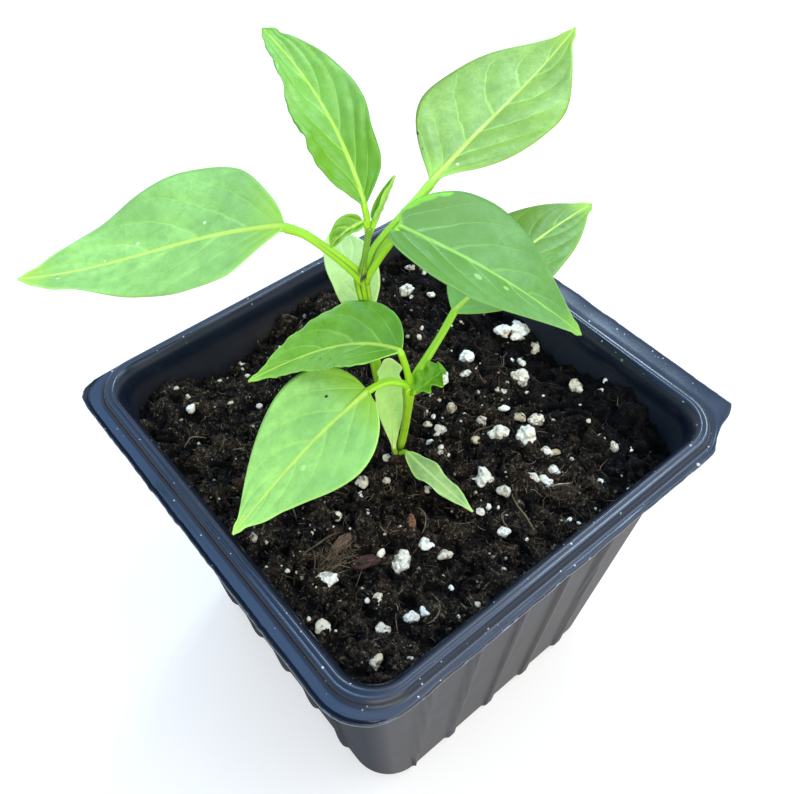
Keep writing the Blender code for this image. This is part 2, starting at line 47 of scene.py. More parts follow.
MM = 0.001  # sizes and places below are in millimetres
POT_HEIGHT = 78.0
WALL = 0.8
FLOOR = 1.0
BASE_HALF = 33.5
WALL_TOP_HALF = 40.0
BASE_CORNER = 9.0
RIM_CORNER = 7.0
BEAD_HALF = 40.8
BEAD_REACH = BEAD_HALF - RIM_CORNER  # the rim is straight this far to each side of its middle
FLANGE_TOP = POT_HEIGHT - 1.5
FLANGE_HALVES = (-45.2, 47.7, -44.2, 43.0)  # trimmed unevenly: -X, +X, -Y, +Y
ROUND_TRIM = 9.5  # radius of the one flange corner that was trimmed round
RIB_CENTRES = (-25.6, -14.2, -2.8, 8.6, 20.0)
RIB_DEPTH = 0.9
RIB_CREST = 1.3
RIB_FOOT = 2.9
RIB_TOP = 72.0
SIDE_STEPS = 132  # points along each straight side, and round each corner
CORNER_STEPS = 22
# The inside floor out from its middle, as shares of its width, and the inside wall's heights
FLOOR_FILLET = 3.4
FLOOR_SHARES = (0.02, 0.25, 0.5, 0.75, 1.0)
INSIDE_HEIGHTS = (3.0, 12.0, 30.0, 50.0, 60.0, 66.0, 70.0, 72.5)
# The rim's section from the inner wall over to the flange: out from the bead's half width, change to
# the corner radius, height from the bead's crest
RIM_SECTION = (
    (-1.93, -1.0, -4.0), (-1.78, -0.95, -3.0), (-1.58, -0.9, -2.1), (-1.28, -0.8, -1.3),
    (-0.95, -0.6, -0.75), (-0.6, -0.3, -0.34), (-0.3, 0.0, -0.1), (-0.05, 0.2, 0.0), (0.18, 0.4, -0.04),
    (0.38, 0.55, -0.15), (0.55, 0.65, -0.28), (0.72, 0.75, -0.29), (0.9, 0.9, -0.22), (1.12, 1.1, -0.28),
    (1.32, 1.25, -0.43), (1.5, 1.4, -0.68), (1.62, 1.5, -0.94), (1.76, 1.6, -1.22), (2.0, 1.8, -1.43),
    (2.35, 2.1, -1.5),
)
# The flange's top out to its cut edge: share of the way, depth of the pressed groove, drop
FLANGE_OVER = (
    (0.25, 0.0, 0.0), (0.5, 0.02, 0.0), (0.62, 0.06, 0.02), (0.7, 0.3, 0.03), (0.76, 0.42, 0.04),
    (0.82, 0.25, 0.06), (0.9, 0.0, 0.1), (0.97, 0.08, 0.2), (1.0, 0.2, 0.36),
)
TORN_RINGS = slice(7, 10)  # those at the cut edge
GROOVE_FROM = -38.0  # only the -X side has the die's groove
FLANGE_UNDER = ((0.995, 0.75), (0.93, 0.95), (0.6, 0.85), (0.2, 0.8))  # share of the way, drop
# From the flange back to the wall under the bead, in the measures of RIM_SECTION
BEAD_UNDER = ((1.2, 1.0, -2.3), (0.8, 0.8, -1.9), (0.2, 0.5, -1.5), (-0.4, 0.1, -1.6), (-0.9, -0.2, -2.4))
# The outside wall down to the base: height, share of the ribs' depth
OUTSIDE_WALL = (
    (74.0, 0.0), (73.2, 0.0), (72.6, 0.3), (72.0, 0.75), (71.2, 1.0), (60.0, 1.0), (45.0, 1.0),
    (30.0, 1.0), (15.0, 1.0), (6.0, 1.0), (3.0, 0.95), (1.8, 0.8), (1.1, 0.6),
)
# The base in to its middle, with a recess and a raised ring: share of its width, height
BASE_RINGS = (
    (1.0, 0.0), (0.93, 0.0), (0.9, 0.25), (0.6, 0.25), (0.58, 0.02), (0.5, 0.02), (0.48, 0.25),
    (0.02, 0.25),
)
DRAIN_AT = 19.0
DRAIN_RADIUS = 4.0
BLACK = (0.006, 0.0105, 0.019)
SCUFF = (0.05, 0.055, 0.062)
DUST = (0.62, 0.6, 0.56)
# Whitened plastic at the cut edge, with the blue of a painted highlight
BURR_AND_HIGHLIGHT = (0.16, 0.24, 0.36)
# The grey-brown tint of the -Y wall
WARM_WALL_TINT = (0.125, 0.085, 0.052)
# Heights in metres on the bead's outside, where the dull wall ends and the glossy rim begins
DULL_FROM = 0.0745
DULL_BELOW = 0.0725


def wall_half(z):
    return BASE_HALF + (WALL_TOP_HALF - BASE_HALF) * z / POT_HEIGHT


def wall_corner(z):
    return BASE_CORNER + (RIM_CORNER - BASE_CORNER) * z / POT_HEIGHT


def turned(points, side):
    """Points of the -Y side turned to a side: 0 is -Y, 1 is +X, 2 is +Y, 3 is -X."""
    x, y = points[:, 0], points[:, 1]
    pair = ((x, y), (-y, x), (-x, -y), (y, -x))[side]
    return np.stack([*pair, points[:, 2]], axis=1)


def rib_rise(u):
    """How far a rib stands out of the wall at u along a side, as a share of its depth."""
    rise = np.zeros_like(u)
    for centre in RIB_CENTRES:
        off = np.abs(u - centre)
        flank = np.clip((RIB_FOOT / 2 - off) / (RIB_FOOT / 2 - RIB_CREST / 2), 0, 1)
        rise = np.maximum(rise, flank * flank * (3 - 2 * flank))
    return rise


def square_ring(half, corner, z, rib=0.0):
    """A rounded square at height z, with ribs standing out of its sides."""
    straight = half - corner
    u = np.linspace(-straight, straight, SIDE_STEPS)
    side = np.stack([u, -half - rib * rib_rise(u), np.full_like(u, z)], axis=1)
    bend = np.linspace(0, math.pi / 2, CORNER_STEPS + 2)[1:-1]
    arc = np.stack([straight + corner * np.sin(bend), -straight - corner * np.cos(bend),
                    np.full_like(bend, z)], axis=1)
    return np.concatenate([turned(np.concatenate([side, arc]), n) for n in range(4)])


def bead_ring(out, rounder, up):
    """A ring of the rim, measured from the bead."""
    return square_ring(BEAD_HALF + out, RIM_CORNER + rounder, POT_HEIGHT + up)


def flange_edge():
    """The flange's cut edge: four straight sides and four corners that were trimmed by hand."""
    west, east, south, north = FLANGE_HALVES
    scalloped = ((36.0, south + 0.1), (38.9, -42.4), (42.5, -41.0), (45.3, -40.5), (east, -39.2))
    bumpy = ((east, 37.0), (east - 0.8, 40.0), (43.5, 41.2), (41.0, 42.7), (38.0, north))
    clipped = ((-38.0, north), (-41.0, 42.8), (-43.6, 42.0), (west + 0.4, 40.5), (west, 38.0))
    middle = np.array((west + ROUND_TRIM, south + ROUND_TRIM))
    rounded = [middle - ROUND_TRIM * np.array((math.cos(a), math.sin(a)))
               for a in np.radians(range(0, 91, 9))]
    outs = (-south, east, north, -west)
    u = np.linspace(-BEAD_REACH, BEAD_REACH, SIDE_STEPS)
    edge = []
    for side, corner in enumerate((scalloped, bumpy, clipped, rounded)):
        after = (side + 1) % 4
        straight = np.stack([u, np.full_like(u, -outs[side]), np.zeros_like(u)], axis=1)
        following = np.array([[-BEAD_REACH, -outs[after], 0.0]])
        path = np.array([turned(straight[-1:], side)[0][:2], *corner, turned(following, after)[0][:2]])
        run = np.concatenate([[0], np.cumsum(np.linalg.norm(np.diff(path, axis=0), axis=1))])
        at = np.linspace(0, run[-1], CORNER_STEPS + 2)[1:-1]
        arc = np.stack([np.interp(at, run, path[:, 0]), np.interp(at, run, path[:, 1]),
                        np.zeros_like(at)], axis=1)
        edge += [turned(straight, side), arc]
    return np.concatenate(edge)


def ragged(edge):
    """The cut edge with the waves, nicks and small tears that a blunt trimming die leaves."""
    rough = []
    for p in edge:
        waves = 0.15 * noise.noise(Vector(p / 5.0))
        nicks = 0.1 * noise.noise(Vector(p / 1.4) + Vector((9, 0, 0)))
        tears = 0.4 * max(0.0, noise.noise(Vector(p / 2.6) + Vector((0, 5, 0))) - 0.28)
        rough.append(waves + nicks + tears)
    out = edge / np.linalg.norm(edge, axis=1)[:, None]
    return edge + out * np.array(rough)[:, None]


def between(inner, outer, share, z):
    """A ring a share of the way from one ring to another, at height z."""
    ring = inner + (outer - inner) * share
    ring[:, 2] = z
    return ring


def in_scene(name, data):
    """A new object in the scene."""
    made = bpy.data.objects.new(name, data)
    bpy.context.scene.collection.objects.link(made)
    return made


def make_piece(name, points, faces, material, sharp=None):
    """A piece of the object from points in millimetres, riding on the plant's only body."""
    mesh = bpy.data.meshes.new(name)
    mesh.from_pydata([tuple(p) for p in np.asarray(points) * MM], [], faces)
    mesh.validate()
    piece = in_scene(name, mesh)
    mesh.materials.append(material)
    mesh.shade_smooth()
    if sharp:
        mesh.set_sharp_from_angle(angle=math.radians(sharp))
    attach(piece, "root")
    return piece


def skin_over(rings):
    """The points and faces of a surface over rings of equal count, closed by the first and last ring."""
    count = len(rings[0])
    points = np.concatenate([np.array(ring) for ring in rings])
    faces = [(low + i, low + (i + 1) % count, low + count + (i + 1) % count, low + count + i)
             for low in range(0, len(points) - count, count) for i in range(count)]
    faces += [tuple(reversed(range(count))), tuple(range(len(points) - count, len(points)))]
    return points, faces


def add_node(tree, kind, inputs=None, **settings):
    """A node with its settings, and for each named input either a value or the output that feeds it."""
    made = tree.nodes.new(kind)
    for name, value in settings.items():
        setattr(made, name, value)
    for name, value in (inputs or {}).items():
        if isinstance(value, bpy.types.NodeSocket):
            tree.links.new(value, made.inputs[name])
        else:
            made.inputs[name].default_value = value
    return made


def calc(operation, *values, clamp=False):
    """A sum on values that change over the surface, made in the tree that they are in."""
    tree = next(value.id_data for value in values if isinstance(value, bpy.types.NodeSocket))
    made = add_node(tree, "ShaderNodeMath", dict(enumerate(values)), operation=operation, use_clamp=clamp)
    return made.outputs[0]


def times(first, second, clamp=False):
    """Two shares multiplied, so that only where both are full does anything show."""
    return calc("MULTIPLY", first, second, clamp=clamp)


def spread(value, low, high, to_low=0.0, to_high=1.0, smooth=False):
    """value carried from the range low to high onto another range, and held at its ends."""
    made = add_node(value.id_data, "ShaderNodeMapRange",
                    {"Value": value, "From Min": low, "From Max": high, "To Min": to_low, "To Max": to_high},
                    interpolation_type="SMOOTHSTEP" if smooth else "LINEAR")
    return made.outputs[0]


def blend(share, first, second):
    """Two colours mixed by share."""
    ends = [end if isinstance(end, bpy.types.NodeSocket) else (*end, 1.0) for end in (first, second)]
    made = add_node(share.id_data, "ShaderNodeMix", {0: share, 6: ends[0], 7: ends[1]}, data_type="RGBA")
    return made.outputs[2]


def mottle(place, scale, detail=3.0, rough=0.55):
    """A cloudy share from 0 to 1 that changes over the surface."""
    made = add_node(place.id_data, "ShaderNodeTexNoise",
                    {"Vector": place, "Scale": scale, "Detail": detail, "Roughness": rough})
    return made.outputs["Fac"]


def object_place(tree):
    return add_node(tree, "ShaderNodeTexCoord").outputs["Object"]


def xyz(vector):
    """The three parts of a vector."""
    return add_node(vector.id_data, "ShaderNodeSeparateXYZ", {0: vector}).outputs


def new_material(name, **values):
    """A material whose Principled shader has these even values."""
    material = bpy.data.materials.new(name)
    material.use_nodes = True
    shader = material.node_tree.nodes["Principled BSDF"]
    for key, value in values.items():
        shader.inputs[key.replace("_", " ")].default_value = value
    return material, material.node_tree, shader


def feed(shader, colour=None, roughness=None, height=None, bump=0.3, distance=0.0002):
    """Leads the varying colour, roughness and relief into the shader."""
    tree = shader.id_data
    if colour is not None:
        tree.links.new(colour, shader.inputs["Base Color"])
    if roughness is not None:
        tree.links.new(roughness, shader.inputs["Roughness"])
    if height is not None:
        relief = add_node(tree, "ShaderNodeBump", {"Height": height, "Strength": bump, "Distance": distance})
        tree.links.new(relief.outputs["Normal"], shader.inputs["Normal"])


def make_group(name, given, results):
    """An empty node group with its named inputs, and their usual values, and its named outputs."""
    group = bpy.data.node_groups.new(name, "ShaderNodeTree")
    for label, value in given:
        socket = group.interface.new_socket(name=label, in_out="INPUT", socket_type="NodeSocketFloat")
        socket.default_value = value
    for label in results:
        group.interface.new_socket(name=label, in_out="OUTPUT", socket_type="NodeSocketFloat")
    return group, group.nodes.new("NodeGroupInput").outputs


def close_group(group, **results):
    """Leads the results out of a group."""
    end = group.nodes.new("NodeGroupOutput")
    for label, value in results.items():
        group.links.new(value, end.inputs[label])
    return group


def make_speck_group():
    """Scattered round specks. Size is a speck's radius as a share of its cell, Amount how many cells
    have one."""
    group, given = make_group("scattered_specks", (("Scale", 800.0), ("Size", 0.2), ("Amount", 0.2)),
                              ("Specks",))
    cells = add_node(group, "ShaderNodeTexVoronoi",
                     {"Vector": object_place(group), "Scale": given["Scale"], "Randomness": 1.0})
    red, green, _ = add_node(group, "ShaderNodeSeparateColor", {0: cells.outputs["Color"]}).outputs
    chosen = calc("LESS_THAN", red, given["Amount"])
    radius = times(given["Size"], calc("ADD", green, 0.35))
    dot = spread(cells.outputs["Distance"], times(radius, 0.6), radius, 1.0, 0.0)
    return close_group(group, Specks=times(chosen, dot))


speck_group = make_speck_group()


def use_group(tree, group, values):
    """A node group placed in a material with its own values, by name."""
    placed = add_node(tree, "ShaderNodeGroup", node_tree=group)
    for label, value in values.items():
        placed.inputs[label].default_value = value
    return placed.outputs


def specks(tree, scale, size, amount):
    return use_group(tree, speck_group, {"Scale": scale, "Size": size, "Amount": amount})["Specks"]


def mark(piece, name, values):
    """Stores one number per point for the piece's material."""
    layer = piece.data.attributes.new(name, "FLOAT", "POINT")
    layer.data.foreach_set("value", np.asarray(values, dtype=np.float32))


def marked(tree, name, part="Fac"):
    """What mark stored, as the material reads it."""
    return add_node(tree, "ShaderNodeAttribute", attribute_name=name).outputs[part]


def make_plastic():
    material, tree, shader = new_material("black_plastic", Roughness=0.3, IOR=1.5)
    place = object_place(tree)
    x, _, z = xyz(place)
    facing_x, facing_y, facing_z = xyz(add_node(tree, "ShaderNodeNewGeometry").outputs["Normal"])
    cloud = mottle(place, 90.0)
    film = times(spread(cloud, 0.45, 0.8), 0.1)
    colour = blend(film, BLACK, SCUFF)
    # Dust settles on what faces up, mostly along the rim
    dust = calc("MAXIMUM", specks(tree, 480.0, 0.15, 0.14), specks(tree, 1200.0, 0.22, 0.14))
    on_rim = times(spread(facing_z, 0.35, 0.9), spread(z, 0.070, 0.0755))
    few = times(specks(tree, 260.0, 0.1, 0.03), 0.5)
    dust = calc("MAXIMUM", times(dust, on_rim, clamp=True), few)
    colour = blend(times(dust, 0.85), colour, DUST)
    # Pale stretch marks and burrs show along the cut edge, blued as painted highlights on the whitened
    # plastic
    burrs_and_highlights = times(marked(tree, "torn"), spread(mottle(place, 420.0), 0.56, 0.66))
    colour = blend(times(burrs_and_highlights, 0.8), colour, BURR_AND_HIGHLIGHT)
    # The -Y wall is tinted grey-brown, more strongly towards +X
    warm_tint = times(spread(facing_y, -0.4, -0.9), spread(z, DULL_FROM, 0.07))
    warm_tint = times(warm_tint, spread(x, -0.015, 0.035, 0.7, 1.7))
    warm_tint = times(warm_tint, spread(cloud, 0.3, 0.7, 0.09, 0.25))
    colour = blend(warm_tint, colour, WARM_WALL_TINT)
    # The walls are duller than the rolled rim, and the -X wall is the dullest
    dull = calc("ADD", spread(z, DULL_FROM, DULL_BELOW, 0.0, 0.32), spread(cloud, 0.3, 0.8, 0.21, 0.31))
    dullest = times(spread(facing_x, -0.5, -0.9, 0.0, 0.35), spread(z, DULL_FROM, DULL_BELOW))
    dull = calc("ADD", dull, dullest)
    rough = calc("ADD", dull, times(dust, 0.5), clamp=True)
    fine = mottle(place, 1400.0, 2.0)
    broad = mottle(place, 60.0, 2.0)
    height = calc("ADD", times(fine, 0.06), times(broad, 1.2))
    feed(shader, colour, rough, height, 0.35, 0.0004)
    return material


def make_pot(material):
    rings = [square_ring((BASE_HALF - FLOOR_FILLET) * share, max(0.1, (BASE_CORNER - FLOOR_FILLET) * share),
                         FLOOR) for share in FLOOR_SHARES]
    rings += [square_ring(BASE_HALF - 2.6, BASE_CORNER - 2.6, FLOOR + 0.15),
              square_ring(BASE_HALF - 1.6, BASE_CORNER - 2.0, FLOOR + 0.8)]
    for z in INSIDE_HEIGHTS:
        faint = 0.35 * min(1.0, max(0.0, (RIB_TOP - z) / 6))  # the ribs show a little inside
        rings.append(square_ring(wall_half(z) - WALL, wall_corner(z) - WALL, z, faint))
    rings += [bead_ring(*step) for step in RIM_SECTION]
    flange_start = len(rings)
    inner = bead_ring(*RIM_SECTION[-1])
    edge = ragged(flange_edge())
    ripple = np.array([0.18 * noise.noise(Vector(p / 9.0)) for p in edge])
    for share, groove, drop in FLANGE_OVER:
        ring = between(inner, edge, share, FLANGE_TOP)
        pressed = np.clip((GROOVE_FROM - ring[:, 0]) / 4.0, 0, 1)
        ring[:, 2] += ripple * share - drop - (groove - drop) * pressed
        rings.append(ring)
    for share, drop in FLANGE_UNDER:
        ring = between(inner, edge, share, FLANGE_TOP - drop)
        ring[:, 2] += ripple * share
        rings.append(ring)
    rings += [bead_ring(*step) for step in BEAD_UNDER]
    rings += [square_ring(wall_half(z), wall_corner(z), z, RIB_DEPTH * rise) for z, rise in OUTSIDE_WALL]
    rings += [square_ring(wall_half(0.0) - 0.15, BASE_CORNER, 0.55, RIB_DEPTH * 0.35),
              square_ring(BASE_HALF - 0.5, BASE_CORNER - 0.4, 0.18, RIB_DEPTH * 0.25)]
    rings += [square_ring((BASE_HALF - 1.2) * share, (BASE_CORNER - 1.2) * share, z)
              for share, z in BASE_RINGS]
    points, faces = skin_over(rings)
    shell = make_piece("pot_shell", points, faces, material, sharp=40)
    torn = np.zeros((len(rings), len(rings[0])))
    torn[flange_start:][TORN_RINGS] = 1.0
    mark(shell, "torn", torn.ravel())
    return shell


def drill(piece, centres, radius, low, high):
    """Round holes straight down through a piece, with its mesh left as the result."""
    bm = bmesh.new()
    for x, y in centres:
        place = Matrix.Translation(Vector((x, y, (low + high) / 2)) * MM)
        bmesh.ops.create_cone(bm, cap_ends=True, segments=40, radius1=radius * MM, radius2=radius * MM,
                              depth=(high - low) * MM, matrix=place)
    cutter_mesh = bpy.data.meshes.new("drill")
    bm.to_mesh(cutter_mesh)
    bm.free()
    cutter = in_scene("drill", cutter_mesh)
    modifier = piece.modifiers.new("holes", "BOOLEAN")
    modifier.operation = "DIFFERENCE"
    modifier.solver = "EXACT"
    modifier.object = cutter
    graph = bpy.context.evaluated_depsgraph_get()
    drilled = bpy.data.meshes.new_from_object(piece.evaluated_get(graph))
    piece.modifiers.clear()
    piece.data = drilled
    bpy.data.objects.remove(cutter)


plastic = make_plastic()
pot = make_pot(plastic)
drains = [(x, y) for x in (-DRAIN_AT, DRAIN_AT) for y in (-DRAIN_AT, DRAIN_AT)]
drill(pot, drains, DRAIN_RADIUS, -1.0, FLOOR + 1.0)
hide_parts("pot")

# --- Potting mix ---
# Moist black peat with brown fibres, filled to 9 mm below the rim and left in loose crumbs. It has sunk
# along the +Y wall and stands in mounds near three corners.

SOIL_LEVEL = 69.0
# Broad mounds and hollows of the surface: centre x, y, rise, spread
SOIL_SWELLS = (
    (-33, 34, 2.8, 9), (-41, 40, -4.0, 7), (-16, 38, -4.0, 9), (6, 38, 2.5, 8), (40, -5, -3.0, 9),
    (37, -23, 3.6, 7), (39, -37, -3.2, 9), (30, 30, 1.5, 10),
)
SOIL_STEPS = 292
# Clods on the surface, large to small: size, rise, and the seed of their noise
CLODS = ((4.2, 1.9, 2.0), (2.1, 1.7, 7.0), (1.1, 1.15, 4.0), (0.6, 0.7, 9.0))
WALL_GAP = 0.08
SKIRT_HEIGHTS = (60.0, 40.0, 20.0, 4.0, FLOOR + 0.3)  # the block's sides down to its foot
# Wet black, which also serves as the painted shade in the bed's hollows, moist brown, dry brown and straw
PEAT = ((0.0014, 0.0012, 0.001), (0.0092, 0.0064, 0.004), (0.08, 0.055, 0.03), (0.3, 0.23, 0.14))
GRIT = (0.34, 0.29, 0.21)
BLACKER_FROM, BLACKER_TO = 0.016, 0.032  # the mix turns black between these places along X, in metres
STILL_BROWN = 0.15  # the share of brown left where it is blackest


def soil_height(x, y):
    """The height of the mix's surface, with broad swells and crumbly lumps."""
    height = SOIL_LEVEL
    for centre_x, centre_y, rise, breadth in SOIL_SWELLS:
        height += rise * math.exp(-((x - centre_x) ** 2 + (y - centre_y) ** 2) / breadth ** 2)
    height += 0.9 * noise.noise(Vector((x / 7, y / 7, 0.0)))
    return height + 0.45 * noise.noise(Vector((x / 3, y / 3, 5.0)))


def crumbled(x, y):
    """The surface with its crumbs: broken clods of several sizes with dark gaps between them."""
    height = soil_height(x, y)
    warp = 1.6 * noise.noise(Vector((x / 3, y / 3, 11.0)))
    for size, rise, seed in CLODS:
        height += rise * noise.noise(Vector(((x + warp) / size, (y - warp) / size, seed)))
    return height


def brown_share(place):
    """How much brown shows: the mix is blacker towards +X."""
    return spread(xyz(place)["X"], BLACKER_FROM, BLACKER_TO, 1.0, STILL_BROWN)


def blackened_towards_x(brown, colour, most, blackest=PEAT[0]):
    """A colour darkened towards +X, where less brown shows."""
    return blend(spread(brown, 1.0, STILL_BROWN, 0.0, most), colour, blackest)


def make_peat():
    material, tree, shader = new_material("peat", Roughness=0.8, Specular_IOR_Level=0.12)
    place = object_place(tree)
    grain = mottle(place, 1500.0, 6.0, 0.75)
    raised = marked(tree, "raised")
    brown = brown_share(place)
    colour = blend(spread(mottle(place, 130.0, 4.0, 0.6), 0.4, 0.65), PEAT[0], PEAT[1])
    # Painted light: the raised tops of the bed are painted lighter brown
    colour = blend(spread(raised, 0.2, 1.3, 0.0, 0.3), colour, PEAT[2])
    crumb = times(spread(grain, 0.5, 0.62), spread(raised, -0.7, 0.5, 0.1, 1.0))
    colour = blend(times(crumb, brown), colour, PEAT[2])
    pale = times(spread(grain, 0.585, 0.64), spread(raised, -0.6, 0.5, 0.15, 1.0))
    colour = blend(times(pale, brown), colour, PEAT[3])
    grit = times(specks(tree, 2400.0, 0.2, 0.16), spread(raised, -0.4, 0.3))
    colour = blend(grit, colour, GRIT)
    # Painted shade: the hollows between clods and the block's hidden sides are painted black
    colour = blend(spread(raised, -0.2, -1.0), colour, PEAT[0])
    colour = blackened_towards_x(brown, colour, 0.88)
    # Fine pale fibres, drawn out along one direction
    stretch = add_node(tree, "ShaderNodeMapping", {"Vector": place, "Scale": (1.0, 0.16, 1.0),
                                                   "Rotation": (0.0, 0.0, 0.6)}).outputs[0]
    threads = times(spread(mottle(stretch, 3200.0, 2.0), 0.64, 0.7), spread(raised, -0.5, 0.3, 0.0, 0.7))
    colour = blend(times(threads, brown), colour, PEAT[3])
    height = calc("ADD", grain, times(mottle(place, 3200.0), 0.4))
    feed(shader, colour, spread(grain, 0.3, 0.7, 0.62, 0.95), height, 0.9, 0.0006)
    return material


def in_rounded_square(u, v, half, corner):
    """A place in a rounded square, from shares u and v between -1 and 1 of a plain one."""
    straight = half - corner
    x, y = abs(u) * half, abs(v) * half
    dx = max(0.0, x - straight) / corner
    dy = max(0.0, y - straight) / corner
    px = min(x, straight) + corner * dx * math.sqrt(1 - dy * dy / 2)
    py = min(y, straight) + corner * dy * math.sqrt(1 - dx * dx / 2)
    return math.copysign(px, u), math.copysign(py, v)


def make_soil(material):
    half = wall_half(SOIL_LEVEL) - WALL - WALL_GAP
    corner = wall_corner(SOIL_LEVEL) - WALL
    line = np.linspace(-1.0, 1.0, SOIL_STEPS)
    points = []
    for v in line:
        for u in line:
            px, py = in_rounded_square(u, v, half, corner)
            z = crumbled(px, py)
            reach = (wall_half(z) - WALL - WALL_GAP) / half
            points.append((px * reach, py * reach, z))
    n = SOIL_STEPS
    faces = [(r * n + c, r * n + c + 1, (r + 1) * n + c + 1, (r + 1) * n + c)
             for r in range(n - 1) for c in range(n - 1)]
    border = list(range(n)) + [r * n + n - 1 for r in range(1, n)]
    border += [(n - 1) * n + c for c in range(n - 2, -1, -1)] + [r * n for r in range(n - 2, 0, -1)]
    count = len(border)
    above = border
    for z in SKIRT_HEIGHTS:
        gap = WALL + (0.2 if z > 2 else 2.4)  # the foot draws in over the floor's rounded edge
        below = list(range(len(points), len(points) + count))
        half, corner = wall_half(z) - gap, wall_corner(z) - gap + 0.5
        points += [(*in_rounded_square(line[i % n], line[i // n], half, corner), z) for i in border]
        faces += [(above[i], above[(i + 1) % count], below[(i + 1) % count], below[i])
                  for i in range(count)]
        above = below
    faces.append(tuple(above))
    bed = make_piece("peat_bed", points, faces, material)
    mark(bed, "raised", [z - soil_height(x, y) if z > SKIRT_HEIGHTS[0] + 1 else -1.0 for x, y, z in points])
    return bed


soil = make_soil(make_peat())
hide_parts("potting_mix")

# --- Loose crumbs ---
# Clods and flakes of peat that broke off as the pot was filled. They lie where they fell on the bed, and
# run from wet black to brown, reddish and pale wood.

CRUMBS = 1500
CRUMB_WIDTHS = (0.4, 0.5, 0.7, 0.9, 1.3, 1.9)
FLAKES = 3000
SOIL_HALF = 37.2  # loose matter stays this far from the pot's axis along a side
SOIL_ROUND = 6.0  # and keeps to corners of this radius
# Colours of the clods: from which tone to which each comes in, then the colour
CLOD_COLOURS = (
    (0.68, 0.76, (0.042, 0.023, 0.012)),
    (0.82, 0.9, (0.15, 0.095, 0.05)),
    (0.96, 0.975, (0.42, 0.35, 0.235)),
)
litter_random = random.Random(11)


def on_soil(rng, half=SOIL_HALF):
    """A random place on the mix, inside its rounded corners."""
    while True:
        x, y = rng.uniform(-half, half), rng.uniform(-half, half)
        over = math.hypot(max(0.0, abs(x) - half + SOIL_ROUND), max(0.0, abs(y) - half + SOIL_ROUND))
        if over < SOIL_ROUND:
            return x, y


def ball(subdivisions):
    """The points and faces of an even ball of radius 1."""
    bm = bmesh.new()
    bmesh.ops.create_icosphere(bm, subdivisions=subdivisions, radius=1.0)
    points = np.array([v.co[:] for v in bm.verts])
    faces = [tuple(v.index for v in f.verts) for f in bm.faces]
    bm.free()
    return points, faces


def lumpy(ball_points, sizes, seed, rough, grain=1.7, flat=0.0):
    """A ball pushed in and out by noise, stretched to sizes, and flattened on facets where flat is set."""
    points = []
    for p in ball_points:
        at = Vector(p) * grain + Vector((seed * 3.7, seed, 0))
        push = 1 + rough * noise.noise(at) + rough * 0.45 * noise.noise(at * 2.6)
        if flat:
            push -= flat * max(0.0, noise.noise(Vector(p) * 0.9 + Vector((0, seed * 2.3, 4))))
        points.append(p * push)
    return np.array(points) * np.array(sizes) / 2


def tilted(points, rng, most=0.5):
    """Points turned about Z by any angle, and tilted a little."""
    turn = Matrix.Rotation(rng.uniform(0, 2 * math.pi), 3, "Z")
    nod = Matrix.Rotation(rng.uniform(-most, most), 3, "X")
    lean = nod @ Matrix.Rotation(rng.uniform(-most, most), 3, "Y")
    return points @ np.array(turn @ lean).T


def piece_of(name, shapes, material):
    """Many shapes as one piece. Each has its points, faces and a tone of its own from 0 to 1."""
    points, faces, tones = [], [], []
    start = 0
    for shape_points, shape_faces, tone in shapes:
        points.append(np.asarray(shape_points))
        faces += [tuple(i + start for i in face) for face in shape_faces]
        tones += [tone] * len(shape_points)
        start += len(shape_points)
    points = np.concatenate(points)
    piece = make_piece(name, points, faces, material)
    mark(piece, "tone", tones)
    return piece, points


def crumb_shapes(rng):
    ball_points, ball_faces = ball(2)
    for number in range(CRUMBS):
        x, y = on_soil(rng)
        size = rng.choice(CRUMB_WIDTHS) * rng.uniform(0.8, 1.3)
        sizes = (size, size * rng.uniform(0.5, 0.9), size * rng.uniform(0.4, 0.7))
        clod = tilted(lumpy(ball_points, sizes, number, 1.3, 2.6), rng)
        z = crumbled(x, y) + size * rng.uniform(-0.1, 0.15)
        palest = 1.0 if size < 1.1 else 0.8  # no large clod is pale
        yield clod + np.array((x, y, z)), ball_faces, rng.random() * palest
    flake_points, flake_faces = ball(1)
    for number in range(FLAKES):
        x, y = on_soil(rng)
        size = rng.uniform(0.25, 0.75)
        sizes = (size, size * rng.uniform(0.25, 0.8), size * rng.uniform(0.15, 0.4))
        flake = tilted(lumpy(flake_points, sizes, number, 0.9, 2.4), rng, 1.3)
        z = crumbled(x, y) + rng.uniform(0.0, 0.2)
        yield flake + np.array((x, y, z)), flake_faces, rng.random()


def layered(share, colour, layers):
    """Colours laid one over another, each coming in as share runs between its two limits."""
    for low, high, shade in layers:
        colour = blend(spread(share, low, high), colour, shade)
    return colour


def make_crumb_finish():
    material, tree, shader = new_material("crumbly_peat", Roughness=0.85, Specular_IOR_Level=0.12)
    place = object_place(tree)
    tone = marked(tree, "tone")
    grain = mottle(place, 2200.0, 4.0, 0.7)
    colour = layered(tone, blend(tone, PEAT[0], PEAT[1]), CLOD_COLOURS)
    colour = layered(grain, colour, ((0.54, 0.66, PEAT[2]), (0.65, 0.72, PEAT[3])))
    colour = blackened_towards_x(brown_share(place), colour, 0.85)
    feed(shader, colour, spread(grain, 0.3, 0.7, 0.65, 0.95), grain, 0.8, 0.0004)
    return material


crumbs, _ = piece_of("peat_crumbs", crumb_shapes(litter_random), make_crumb_finish())

# --- Plant fibres ---
# Brown fibres of the peat moss, straws and fine roots, dry and bent. They lie loose among the crumbs, and
# in a few places are matted into tufts.

FIBRES = 1500
FIBRE_LENGTHS = (1.0, 1.4, 1.8, 2.4, 3.4)
FUZZ = 3000
FIBRE_EDGE = 38.0
